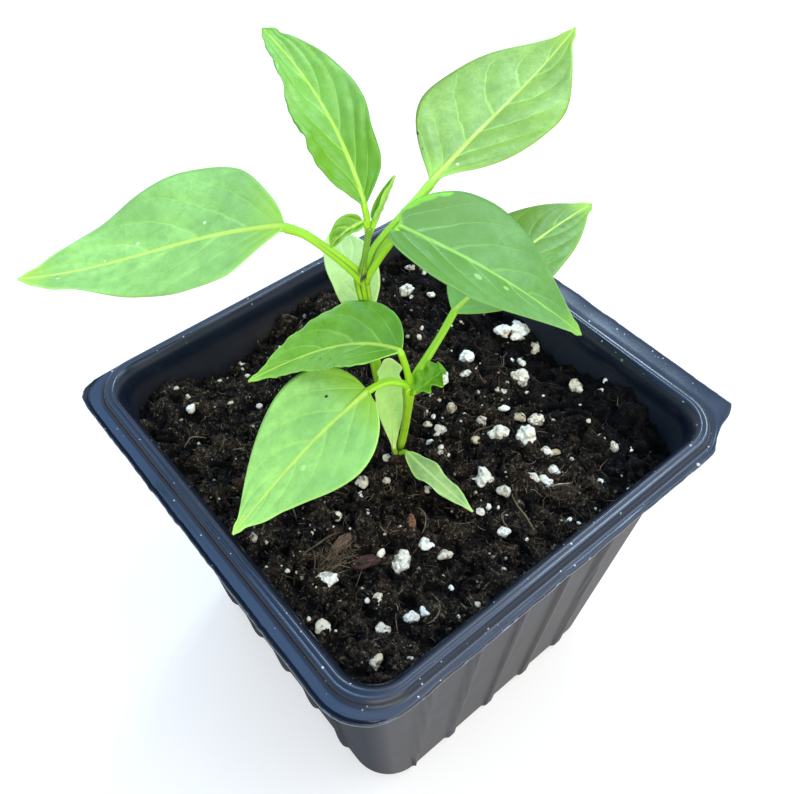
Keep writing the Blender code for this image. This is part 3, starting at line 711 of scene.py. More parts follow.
# Long fibres and straws that lie where they catch the eye: x, y, heading in degrees, length, radius,
# curl, lift, tone
PLACED_STRANDS = (
    (7.0, 3.5, 150, 9.0, 0.16, 2.6, 2.2, 0.62),
    (12.5, 1.0, 250, 7.5, 0.14, 1.4, 1.0, 0.55),
    (8.0, -11.0, 25, 6.5, 0.16, 0.9, 0.9, 0.6),
    (11.0, -27.0, -38, 6.0, 0.22, 0.3, 0.5, 0.97),
    (3.0, -33.0, 80, 9.0, 0.20, 1.2, 1.0, 0.8),
    (0.0, -30.0, 120, 7.0, 0.18, 1.6, 0.8, 0.75),
    (26.5, -2.0, -62, 8.0, 0.16, 0.6, 1.2, 0.45),
    (20.0, -8.0, 80, 6.0, 0.15, 0.5, 1.2, 0.45),
    (30.0, -8.0, -50, 7.0, 0.15, 0.8, 1.0, 0.42),
    (-31.0, -11.0, 20, 8.0, 0.17, 1.2, 0.7, 0.66),
    (-27.0, -3.0, 60, 9.0, 0.16, 1.5, 0.8, 0.7),
    (-23.0, 5.0, -100, 7.0, 0.17, 1.0, 0.6, 0.78),
    (-12.0, -20.0, 10, 6.0, 0.14, 1.2, 0.6, 0.8),
    (-33.0, 3.0, 75, 6.0, 0.14, 1.6, 0.8, 0.6),
    (-34.5, 23.0, 30, 5.0, 0.15, 0.8, 0.8, 0.85),
)
# Tufts: x, y, direction in degrees, length, breadth, how many, tone
TUFTS = (
    (-26.5, -14.5, 11, 8.0, 3.4, 90, 0.75),
    (14.5, -30.5, -40, 8.0, 4.0, 70, 0.6),
    (-19.0, 4.0, 20, 6.0, 5.0, 40, 0.6),
)
# Colours of the fibres by tone, as for the clods
FIBRE_COLOURS = (
    (0.0, 0.55, (0.07, 0.045, 0.023)),
    (0.55, 0.9, (0.26, 0.18, 0.095)),
    (0.93, 0.98, (0.42, 0.35, 0.24)),
)
DARK_FIBRE = (0.014, 0.009, 0.005)
FIBRE_GRAIN = (0.03, 0.018, 0.01)


def tube_rings(path, radii, sides, flat=1.0):
    """Rings square to a path, turned as little as possible from one to the next."""
    rings = []
    across = Vector((1, 0, 0))
    path = [Vector(p) for p in path]
    for i, (centre, radius) in enumerate(zip(path, radii)):
        along = (path[min(i + 1, len(path) - 1)] - path[max(i - 1, 0)]).normalized()
        across = (across - along * across.dot(along)).normalized()
        up = along.cross(across)
        rings.append([centre + radius * (across * math.cos(a) + up * flat * math.sin(a))
                      for a in (2 * math.pi * k / sides for k in range(sides))])
    return rings


def strand(rng, x, y, heading, length, radius, curl, lift):
    """A bent fibre that follows the surface of the mix and lifts off it in the middle."""
    steps = max(4, int(length / 0.6))
    path, radii = [], []
    bend = rng.uniform(-curl, curl)
    for i in range(steps + 1):
        t = i / steps
        z = crumbled(x, y) + radius + lift * math.sin(math.pi * t)
        path.append((x, y, z))
        radii.append(radius * (0.35 + 0.65 * math.sin(math.pi * min(1, 0.12 + t * 0.85))))
        heading += (bend + rng.uniform(-0.35, 0.35)) / steps * 2
        bend += rng.uniform(-0.5, 0.5) / steps * 2
        x = max(-FIBRE_EDGE, min(FIBRE_EDGE, x + math.cos(heading) * length / steps))
        y = max(-FIBRE_EDGE, min(FIBRE_EDGE, y + math.sin(heading) * length / steps))
    # Evens out the jumps from crumb to crumb, as a stiff fibre bridges them
    heights = [p[2] for p in path]
    for i, (x, y, z) in enumerate(path):
        around = heights[max(0, i - 2):i + 3]
        path[i] = (x, y, max(sum(around) / len(around), z - 0.25))
    return skin_over(tube_rings(path, radii, 4, 0.7))


def fibre_shapes(rng):
    for x, y, heading, length, radius, curl, lift, tone in PLACED_STRANDS:
        yield *strand(rng, x, y, math.radians(heading), length, radius, curl, lift), tone
    for number in range(FIBRES):
        x, y = on_soil(rng, 36.0)
        length = rng.choice(FIBRE_LENGTHS) * rng.uniform(0.8, 1.2)
        radius = rng.uniform(0.03, 0.07) * (1.0 if number % 11 else 1.9)  # one in eleven is thick
        heading = rng.uniform(0, 2 * math.pi)
        yield *strand(rng, x, y, heading, length, radius, 0.8, rng.uniform(0.1, 0.9)), rng.random() ** 1.4
    for number in range(FUZZ):
        x, y = on_soil(rng, 37.0)
        heading, rise = rng.uniform(0, 2 * math.pi), rng.uniform(0.0, 0.9)
        length = rng.uniform(0.5, 1.3)
        start = Vector((x, y, crumbled(x, y) - 0.1))
        end = start + length * Vector((math.cos(heading), math.sin(heading), rise))
        yield *skin_over(tube_rings([start, end], [0.035, 0.02], 3)), rng.random()
    for centre_x, centre_y, heading, length, breadth, count, tone in TUFTS:
        heading = math.radians(heading)
        for number in range(count):
            along = rng.gauss(-0.2, 0.22) * length
            aside = rng.gauss(0.0, 0.3) * breadth
            x = centre_x + along * math.cos(heading) - aside * math.sin(heading)
            y = centre_y + along * math.sin(heading) + aside * math.cos(heading)
            turn, reach = rng.gauss(0.0, 0.35), length * rng.uniform(0.2, 0.55)
            radius, lift = rng.uniform(0.035, 0.08), rng.uniform(0.3, 1.3)
            shape = strand(rng, x, y, heading + turn, reach, radius, 0.9, lift)
            yield *shape, tone * rng.uniform(0.7, 1.25)


def make_fibre_finish():
    material, tree, shader = new_material("dry_fibre", Roughness=0.7, Specular_IOR_Level=0.2)
    place = object_place(tree)
    grain = mottle(place, 1100.0)
    colour = layered(marked(tree, "tone"), DARK_FIBRE, FIBRE_COLOURS)
    colour = blend(spread(grain, 0.4, 0.7, 0.0, 0.55), colour, FIBRE_GRAIN)
    colour = blackened_towards_x(brown_share(place), colour, 0.6, PEAT[1])
    feed(shader, colour, None, grain, 0.5, 0.0002)
    return material


fibres, _ = piece_of("plant_fibres", fibre_shapes(litter_random), make_fibre_finish())

# --- Perlite ---
# Popped volcanic glass: light, white, pitted grains that lie in the top of the mix. Peat stains them
# cream and tan, and the largest are a little crushed.

# The main grains, which are solids too: x, y, width, depth and height as shares of it, turn in degrees,
# tone from white at 0 to tan at 1
GRAINS = (
    (36.3, 4.2, 5.0, 0.8, 0.7, 20, 0.0), (36.2, -0.2, 3.0, 0.95, 0.8, 60, 0.4),
    (22.5, 5.8, 3.2, 0.9, 0.75, 10, 0.1), (19.9, 2.5, 3.4, 0.65, 0.5, -40, 0.05),
    (13.8, 4.8, 4.2, 0.8, 0.7, 30, 0.2), (26.7, -5.6, 3.6, 0.85, 0.85, 80, 0.35),
    (30.8, 32.3, 3.6, 0.5, 0.55, -30, 0.5), (25.1, 28.4, 3.0, 0.85, 0.7, 0, 0.35),
    (13.8, -12.5, 3.7, 0.85, 0.7, -35, 0.15), (17.0, -16.6, 4.6, 0.9, 0.8, 65, 0.1),
    (21.4, -15.3, 3.0, 0.8, 0.75, 0, 0.5), (18.9, -22.8, 2.3, 0.5, 0.3, -35, 0.95),
    (4.4, -18.3, 3.6, 0.8, 0.8, 70, 0.25), (-18.3, -21.9, 3.9, 0.85, 0.75, 20, 0.15),
    (-31.0, -16.6, 4.2, 0.6, 0.5, -30, 0.25), (34.0, -13.9, 2.7, 0.85, 0.6, 45, 0.75),
)
# Mostly smaller ones, which lie alone or lean on one of those: x, y, width, tone
BITS = (
    (33.3, 6.2, 3.3, 0.05), (30.6, -2.2, 2.2, 0.35), (29.4, -0.4, 1.2, 0.0), (21.8, -5.9, 1.7, 0.6),
    (20.9, -4.9, 1.2, 0.5), (21.6, -4.6, 1.0, 0.3), (18.8, -8.9, 2.1, 0.0), (19.5, -12.6, 2.3, 0.8),
    (17.8, -21.6, 2.5, 0.35), (11.3, -24.1, 2.3, 0.5), (12.6, -26.6, 2.8, 0.05), (15.3, -25.7, 2.2, 0.45),
    (13.4, -8.3, 2.1, 0.6), (11.2, -2.0, 2.5, 0.75), (10.1, 2.9, 1.4, 0.2), (10.6, 1.3, 1.3, 0.5),
    (6.9, -1.5, 1.1, 0.0), (5.6, -4.9, 2.3, 0.35), (4.7, -2.3, 1.7, 0.4), (8.9, -11.3, 1.9, 0.7),
    (1.9, -9.1, 1.8, 0.1), (2.2, -6.0, 1.6, 0.3), (5.9, -15.4, 1.4, 0.8), (-5.5, -13.9, 1.4, 0.4),
    (-6.4, -3.5, 1.7, 0.5), (-9.8, -7.5, 1.4, 0.6), (-13.4, -4.9, 2.4, 0.6), (-15.6, -6.8, 1.8, 0.05),
    (-21.4, -7.6, 1.8, 0.2), (-27.2, -7.6, 1.3, 0.6), (-35.2, -1.8, 1.9, 0.75), (-34.0, -3.7, 1.1, 0.6),
    (5.0, -23.0, 2.6, 0.3), (1.7, -27.1, 1.1, 0.2), (-0.9, -29.2, 2.0, 0.0), (-1.0, -23.1, 2.0, 0.1),
    (0.9, -23.3, 1.3, 0.05), (-12.9, -22.2, 2.5, 0.05), (-11.7, -25.6, 2.5, 0.4), (-20.2, -18.7, 1.7, 0.1),
    (-25.9, -25.1, 2.4, 0.5), (-27.4, -24.0, 1.0, 0.3), (-28.6, -29.6, 2.4, 0.45), (-35.9, -23.0, 2.5, 0.5),
    (-36.8, -20.3, 1.0, 0.4), (-33.0, -33.1, 2.4, 0.7), (-23.7, -30.8, 2.3, 0.05), (-21.1, -31.9, 2.5, 0.0),
    (-29.0, 28.9, 2.0, 0.1), (-27.6, 29.9, 1.3, 0.7), (-17.5, 23.1, 1.3, 0.5), (-5.6, 33.1, 1.9, 0.1),
    (20.5, 18.0, 1.4, 0.2), (28.5, 23.8, 1.7, 0.0), (24.6, 26.0, 1.1, 0.3), (31.9, 30.2, 1.6, 0.6),
    (33.2, -15.2, 1.9, 0.6), (38.0, -17.8, 1.4, 0.0), (35.2, -19.0, 1.4, 0.6), (28.1, -29.0, 2.4, 0.4),
    (27.9, -25.9, 1.2, 0.4), (20.4, -32.9, 1.4, 0.1), (9.7, -34.8, 1.3, 0.1), (24.0, -17.5, 0.9, 0.2),
)
TINY_BITS = 300
TINY_WIDTHS = (0.35, 0.4, 0.5, 0.6, 0.8, 1.1)
PITTED_FROM = 2.8  # grains wider than this show their pits
POPPED_WHITE = (0.96, 0.91, 0.77)
POPPED_CREAM = (0.86, 0.78, 0.52)
POPPED_TAN = (0.5, 0.36, 0.16)
PAINTED_PIT_SHADE = (0.42, 0.38, 0.28)
PEAT_STAIN = (0.12, 0.08, 0.04)
FOOT_DARKENING = (0.03, 0.02, 0.012)
perlite_random = random.Random(23)


def make_perlite_finish():
    material, tree, shader = new_material("perlite", Roughness=0.85)
    place = object_place(tree)
    tone = marked(tree, "tone")
    fine = mottle(place, 900.0, 4.0, 0.6)
    pits = add_node(tree, "ShaderNodeTexVoronoi", {"Vector": place, "Scale": 1500.0}).outputs["Distance"]
    patch = spread(mottle(place, 260.0, 3.0, 0.5), 0.35, 0.7)
    colour = blend(patch, POPPED_WHITE, POPPED_CREAM)
    colour = blend(spread(tone, 0.1, 1.0), colour, POPPED_TAN)
    stain = times(spread(fine, 0.53, 0.62), spread(tone, 0.0, 0.5, 0.3, 0.95))
    colour = blend(stain, colour, PEAT_STAIN)
    # Each grain darkens, in blotches, where it meets and sinks into the mix
    darker_foot = times(marked(tree, "buried"), spread(fine, 0.3, 0.55, 0.4, 1.0))
    colour = blend(darker_foot, colour, FOOT_DARKENING)
    # Painted shade darkens the pits
    colour = blend(spread(pits, 0.0, 0.3, 0.35, 0.0), colour, PAINTED_PIT_SHADE)
    feed(shader, colour, None, calc("ADD", pits, times(fine, 0.6)), 0.9, 0.0003)
    return material


def turned_about_z(points, degrees):
    return points @ np.array(Matrix.Rotation(math.radians(degrees), 3, "Z")).T


def grain_shape(ball_points, x, y, width, depth, height, turn, seed, lift=0.1):
    """A pitted, broken grain lying at x, y with its lower part in the mix."""
    sizes = (width * 1.1, width * depth * 1.1, width * height * 1.1)
    points = lumpy(ball_points, sizes, seed, 0.36, 0.95, 0.6)
    if width > PITTED_FROM:
        dents = []
        for p in points:
            hollow = noise.noise(Vector(p * 6 / width) + Vector((seed, 2, 8)))
            pit = noise.noise(Vector(p * 22 / width) + Vector((seed, 5, 1)))
            dents.append(0.08 * width * max(0.0, hollow) ** 0.8 + 0.03 * width * abs(pit))
        points -= points / np.linalg.norm(points, axis=1)[:, None] * np.array(dents)[:, None]
    return turned_about_z(points, turn) + np.array((x, y, soil_height(x, y) + sizes[2] * lift))


def bit_shapes(rng):
    ball_points, ball_faces = ball(3)
    for number, (x, y, width, tone) in enumerate(BITS, 40):
        depth, height = rng.uniform(0.6, 1.0), rng.uniform(0.5, 0.8)
        turn = rng.uniform(0, 180)
        yield grain_shape(ball_points, x, y, width, depth, height, turn, number, 0.2), ball_faces, tone
    tiny_points, tiny_faces = ball(2)
    for number in range(TINY_BITS):
        x, y = on_soil(rng)
        width = rng.choice(TINY_WIDTHS) * rng.uniform(0.8, 1.2)
        points = tilted(lumpy(tiny_points, (width, width * 0.8, width * 0.7), number, 0.4), rng)
        points += np.array((x, y, crumbled(x, y) + width * 0.15))
        yield points, tiny_faces, rng.uniform(0.0, 0.75)


perlite_finish = make_perlite_finish()
grain_points, grain_faces = ball(5)
for number, (x, y, width, depth, height, turn, tone) in enumerate(GRAINS, 1):
    points = grain_shape(grain_points, x, y, width, depth, height, turn, number)
    grain = make_piece(f"perlite_grain_{number:02d}", points, grain_faces, perlite_finish)
    mark(grain, "tone", [tone] * len(points))
    mark(grain, "buried", np.clip((soil_height(x, y) + 0.4 - points[:, 2]) / 0.8, 0, 1))
    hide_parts(f"perlite_{number:02d}")

bits, points = piece_of("perlite_bits", bit_shapes(perlite_random), perlite_finish)
ground = np.array([soil_height(x, y) for x, y in points[:, :2]])
mark(bits, "buried", np.clip((ground + 0.25 - points[:, 2]) / 0.6, 0, 1))

# --- Bark chips ---
# Splinters of composted bark, torn along the grain, brown and reddish brown. They came with the mix and
# lie half sunk in its top.

# x, y, length, width, direction in degrees, colour
CHIPS = (
    (-24.6, -12.8, 6.4, 2.8, 15, (0.16, 0.085, 0.04)),
    (-23.2, -18.4, 4.8, 2.4, -20, (0.06, 0.02, 0.011)),
    (-12.2, -17.2, 3.4, 1.6, 50, (0.25, 0.11, 0.04)),
)


def make_bark_finish(number, direction, colour):
    material, tree, shader = new_material(f"bark_{number}", Roughness=0.85)
    along_grain = add_node(tree, "ShaderNodeMapping",
                           {"Vector": object_place(tree), "Scale": (1.0, 3.2, 1.5),
                            "Rotation": (0.0, 0.0, math.radians(-direction))}).outputs[0]
    streaks = mottle(along_grain, 900.0, 4.0, 0.6)
    light = tuple(min(1.0, c * 2.1) for c in colour)
    dark = tuple(c * 0.25 for c in colour)
    shade = layered(streaks, dark, ((0.35, 0.55, colour), (0.55, 0.75, light)))
    feed(shader, shade, None, streaks, 0.9, 0.0004)
    return material


for number, (x, y, length, width, direction, colour) in enumerate(CHIPS, 1):
    points = lumpy(grain_points, (length, width, width * 0.6), 30 + number, 0.3, 1.3, 0.3)
    points[:, 2] += [0.16 * noise.noise(Vector((p[0] / 3, p[1] * 2.2, p[2] * 2.2 + number))) for p in points]
    points = turned_about_z(points, direction) + np.array((x, y, soil_height(x, y) + width * 0.07))
    finish = make_bark_finish(number, direction, colour)
    chip = make_piece(f"bark_splinter_{number}", points, grain_faces, finish)
    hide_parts(f"bark_chip_{number}")

# --- Roots ---
# The tap root and its side roots, cream and slightly woody, grown down through the mix from the stem's
# foot. Their solid has the right shape, so it stays and only gets its skin.

ROOT_CREAM = (0.62, 0.52, 0.36)
ROOT_TAN = (0.35, 0.24, 0.13)
material, tree, shader = new_material("root_skin", Roughness=0.8)
skin = mottle(object_place(tree), 500.0, 4.0)
feed(shader, blend(spread(skin, 0.3, 0.7), ROOT_CREAM, ROOT_TAN), None, skin)
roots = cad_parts["root_system"]
roots.data.materials.clear()
roots.data.materials.append(material)

# --- Stems ---
# A green, faintly ridged main stem, corky and grey at the soil, and the side shoot from its seed leaves'
# axil. Purple lines run down from the upper leaf joint.

# Points up the middle with the radius there
MAIN_STEM = (
    (-5.7, -5.3, 64.0, 0.85), (-5.6, -5.2, 67.2, 0.80), (-5.4, -5.0, 71.0, 0.80), (-4.7, -3.1, 76.6, 0.85),
    (-4.5, -0.2, 83.8, 0.90), (-4.3, 2.1, 91.5, 0.95), (-4.2, 3.2, 97.8, 1.00), (-4.2, 4.0, 103.0, 1.08),
    (-4.8, 3.9, 107.6, 1.25), (-5.1, 3.4, 109.6, 0.95), (-5.0, 2.8, 112.6, 0.52), (-4.7, 2.0, 117.2, 0.50),
    (-4.6, 1.6, 119.9, 0.62),
)
SIDE_SHOOT = (
    (-5.0, -4.6, 71.6, 0.62), (-4.7, -5.6, 74.2, 0.66), (-4.7, -6.8, 81.0, 0.68), (-5.6, -8.5, 88.9, 0.80),
    (-6.7, -10.0, 94.8, 1.02), (-7.0, -10.4, 96.6, 0.75),
)
STEM_SIDES = 48
STEM_RIDGES = 5
LEAF_JOINT = 108.4  # height of the upper leaf joint
PURPLE_LINES = (-95, -135, -178, -30, 40, 110)  # directions of the lines below it
LINE_HALF = 0.16
STUDIO_LIGHT = (1.0, 1.15, 1.4)  # how much brighter the lights make a pale surface


def seen(red, green, blue):
    """The finish that looks like these screen values, 0 to 255, under the studio's lights."""
    steps = []
    for value, light in zip((red, green, blue), STUDIO_LIGHT):
        share = value / 255
        even = share / 12.92 if share <= 0.04045 else ((share + 0.055) / 1.055) ** 2.4
        steps.append(even / light)
    return tuple(steps)


def smooth_path(points, spacing):
    """A Catmull-Rom curve through points of any dimension, read about every spacing millimetres."""
    points = [np.array(p, dtype=float) for p in points]
    padded = [points[0] * 2 - points[1], *points, points[-1] * 2 - points[-2]]
    path = [points[0]]
    for i in range(len(points) - 1):
        a, b, c, d = padded[i:i + 4]
        steps = max(1, round(np.linalg.norm((c - b)[:3]) / spacing))
        for step in range(1, steps + 1):
            t = step / steps
            path.append(0.5 * (2 * b + (c - a) * t + (2 * a - 5 * b + 4 * c - d) * t ** 2
                               + (3 * b - a - 3 * c + d) * t ** 3))
    return np.array(path)


def make_stem_finish():
    material, tree, shader = new_material("stem_skin", Roughness=0.42)
    place = object_place(tree)
    height = xyz(place)["Z"]
    cloud = mottle(place, 500.0)
    colour = blend(spread(height, 0.078, 0.1), seen(150, 222, 26), seen(158, 232, 30))
    ridge = spread(marked(tree, "ridge"), 0.0, 1.0, 0.0, 0.55)
    colour = blend(ridge, colour, seen(206, 246, 84))
    colour = blend(spread(cloud, 0.5, 0.75, 0.0, 0.35), colour, seen(112, 176, 24))
    # The growing tip is darker, its own deeper green with painted shade at the node, and the foot is corky,
    # both with an uneven edge
    ragged_height = calc("ADD", height, spread(cloud, 0.3, 0.7, -0.001, 0.001))
    colour = blend(spread(ragged_height, 0.1085, 0.113, 0.0, 0.8), colour, seen(92, 150, 44))
    colour = blend(spread(ragged_height, 0.0758, 0.0728), colour, seen(66, 58, 44))
    colour = blend(marked(tree, "purple"), colour, seen(58, 38, 52))
    feed(shader, colour, spread(cloud, 0.3, 0.7, 0.36, 0.5), cloud, 0.25, 0.0002)
    return material


def purple_at(a, z, radius, lines):
    """How purple the skin is in direction a at height z: lines below the leaf joint, a cloud at it."""
    if not lines:
        return 0.0
    line = max(0.0, *(1 - abs(math.remainder(a - math.radians(b), 2 * math.pi)) * radius / LINE_HALF
                      for b in lines))
    near = max(0.0, 1 - abs(z - LEAF_JOINT) / 7.0)
    cloud = noise.noise(Vector((math.cos(a) * 1.5, math.sin(a) * 1.5, z * 0.7)))
    patch = max(0.0, 1 - abs(z - LEAF_JOINT - 1.4) / 2.6) * (0.55 + cloud * 1.3)
    return min(1.0, max(line * min(1.0, near * 1.6), patch, 0.0))


def stem_piece(name, knots, lines, material):
    """A ridged stem through knots, with purple lines in these directions."""
    path = smooth_path(knots, 0.4)
    rings, purple, ridges = [], [], []
    for i, (x, y, z, radius) in enumerate(path.tolist()):
        along = Vector(path[min(i + 1, len(path) - 1)][:3] - path[max(i - 1, 0)][:3]).normalized()
        across = (Vector((1, 0, 0)) - along * along.x).normalized()
        up = along.cross(across)
        ring = []
        for a in (2 * math.pi * k / STEM_SIDES for k in range(STEM_SIDES)):
            rise = 0.5 + 0.5 * math.cos(STEM_RIDGES * a + 0.6)
            knob = 1 + 0.05 * rise + 0.03 * noise.noise(Vector((math.cos(a), math.sin(a), z * 0.5)))
            ring.append(Vector((x, y, z)) + radius * knob * (across * math.cos(a) + up * math.sin(a)))
            ridges.append(rise ** 3)
            purple.append(purple_at(a, z, radius, lines))
        rings.append(ring)
    points, faces = skin_over(rings)
    piece = make_piece(name, points, faces, material)
    mark(piece, "purple", purple)
    mark(piece, "ridge", ridges)
    return piece


stem_finish = make_stem_finish()
main_stem = stem_piece("ridged_stem", MAIN_STEM, PURPLE_LINES, stem_finish)
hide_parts("main_stem")
side_shoot = stem_piece("yellow_green_shoot", SIDE_SHOOT, (), stem_finish)
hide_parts("side_shoot")

# --- Leaves ---
# Thin blades on grooved stalks, oval and drawn out to a point. The midrib stands out underneath, the side
# veins arch towards the margin, and the blade swells a little between them.

ROWS = 104
ROW_STEPS = 4  # steps of the centre line between rows
SIDE_COLUMNS = 22
BLADE_HALF_THICKNESS = 0.13
TIP_HALF = 0.22
STALK_FADE = 0.3  # the stalk sinks into the blade over this share of its length
STALK_EDGE = 9.0  # stands for "no margin near" on the stalk
GROOVE_HALF = 0.42  # half width of the stalk's groove, as a share of its radius
VEIN_ARCH = 1.25  # how the side veins bend towards the tip
VEIN_STAGGER = 0.45  # the left side's veins meet the midrib this share of a step earlier
VEIN_SLANT = 0.7  # side veins stand this much closer together than along the midrib
VEIN_RELIEF = 0.13
LOBE_END = 0.15


class Leaf(NamedTuple):
    """A leaf: the solid it stands for, its stalk's points, then its blade from the stalk to the tip."""

    name: str
    stands_for: str
    stalk: tuple
    heading: float  # degrees anticlockwise from +X at the blade's base
    turn: float
    pitch: tuple  # rise above level in degrees at the base, then its first and second change
    length: float
    left: float  # half widths
    right: float
    swell: tuple  # exponents of the outline towards the base and towards the tip
    roll: float
    cup: float
    stalk_radius: float = 0.6
    veins: tuple = (5.6, 0.42, 0.1)  # how many side veins fit along it, how far they reach on, and shift
    quilt: float = 0.35  # how far the blade swells between veins
    wave: tuple = (0.35, 2.2, 0.0)  # rise of the waves in the margin, their number and start
    lobes: tuple = (0.0, 0.0)  # how far the base reaches back beside the stalk, left and right
    purple: float = 0.0  # strength of the purple lines on the stalk
    ragged: float = 0.0  # nibbled margin towards the tip
    trims: tuple = ()  # changes of the outline: side (1 left, -1 right, 0 both), t, half span, rise
    crinkle: float = 0.0  # small folds towards the margin


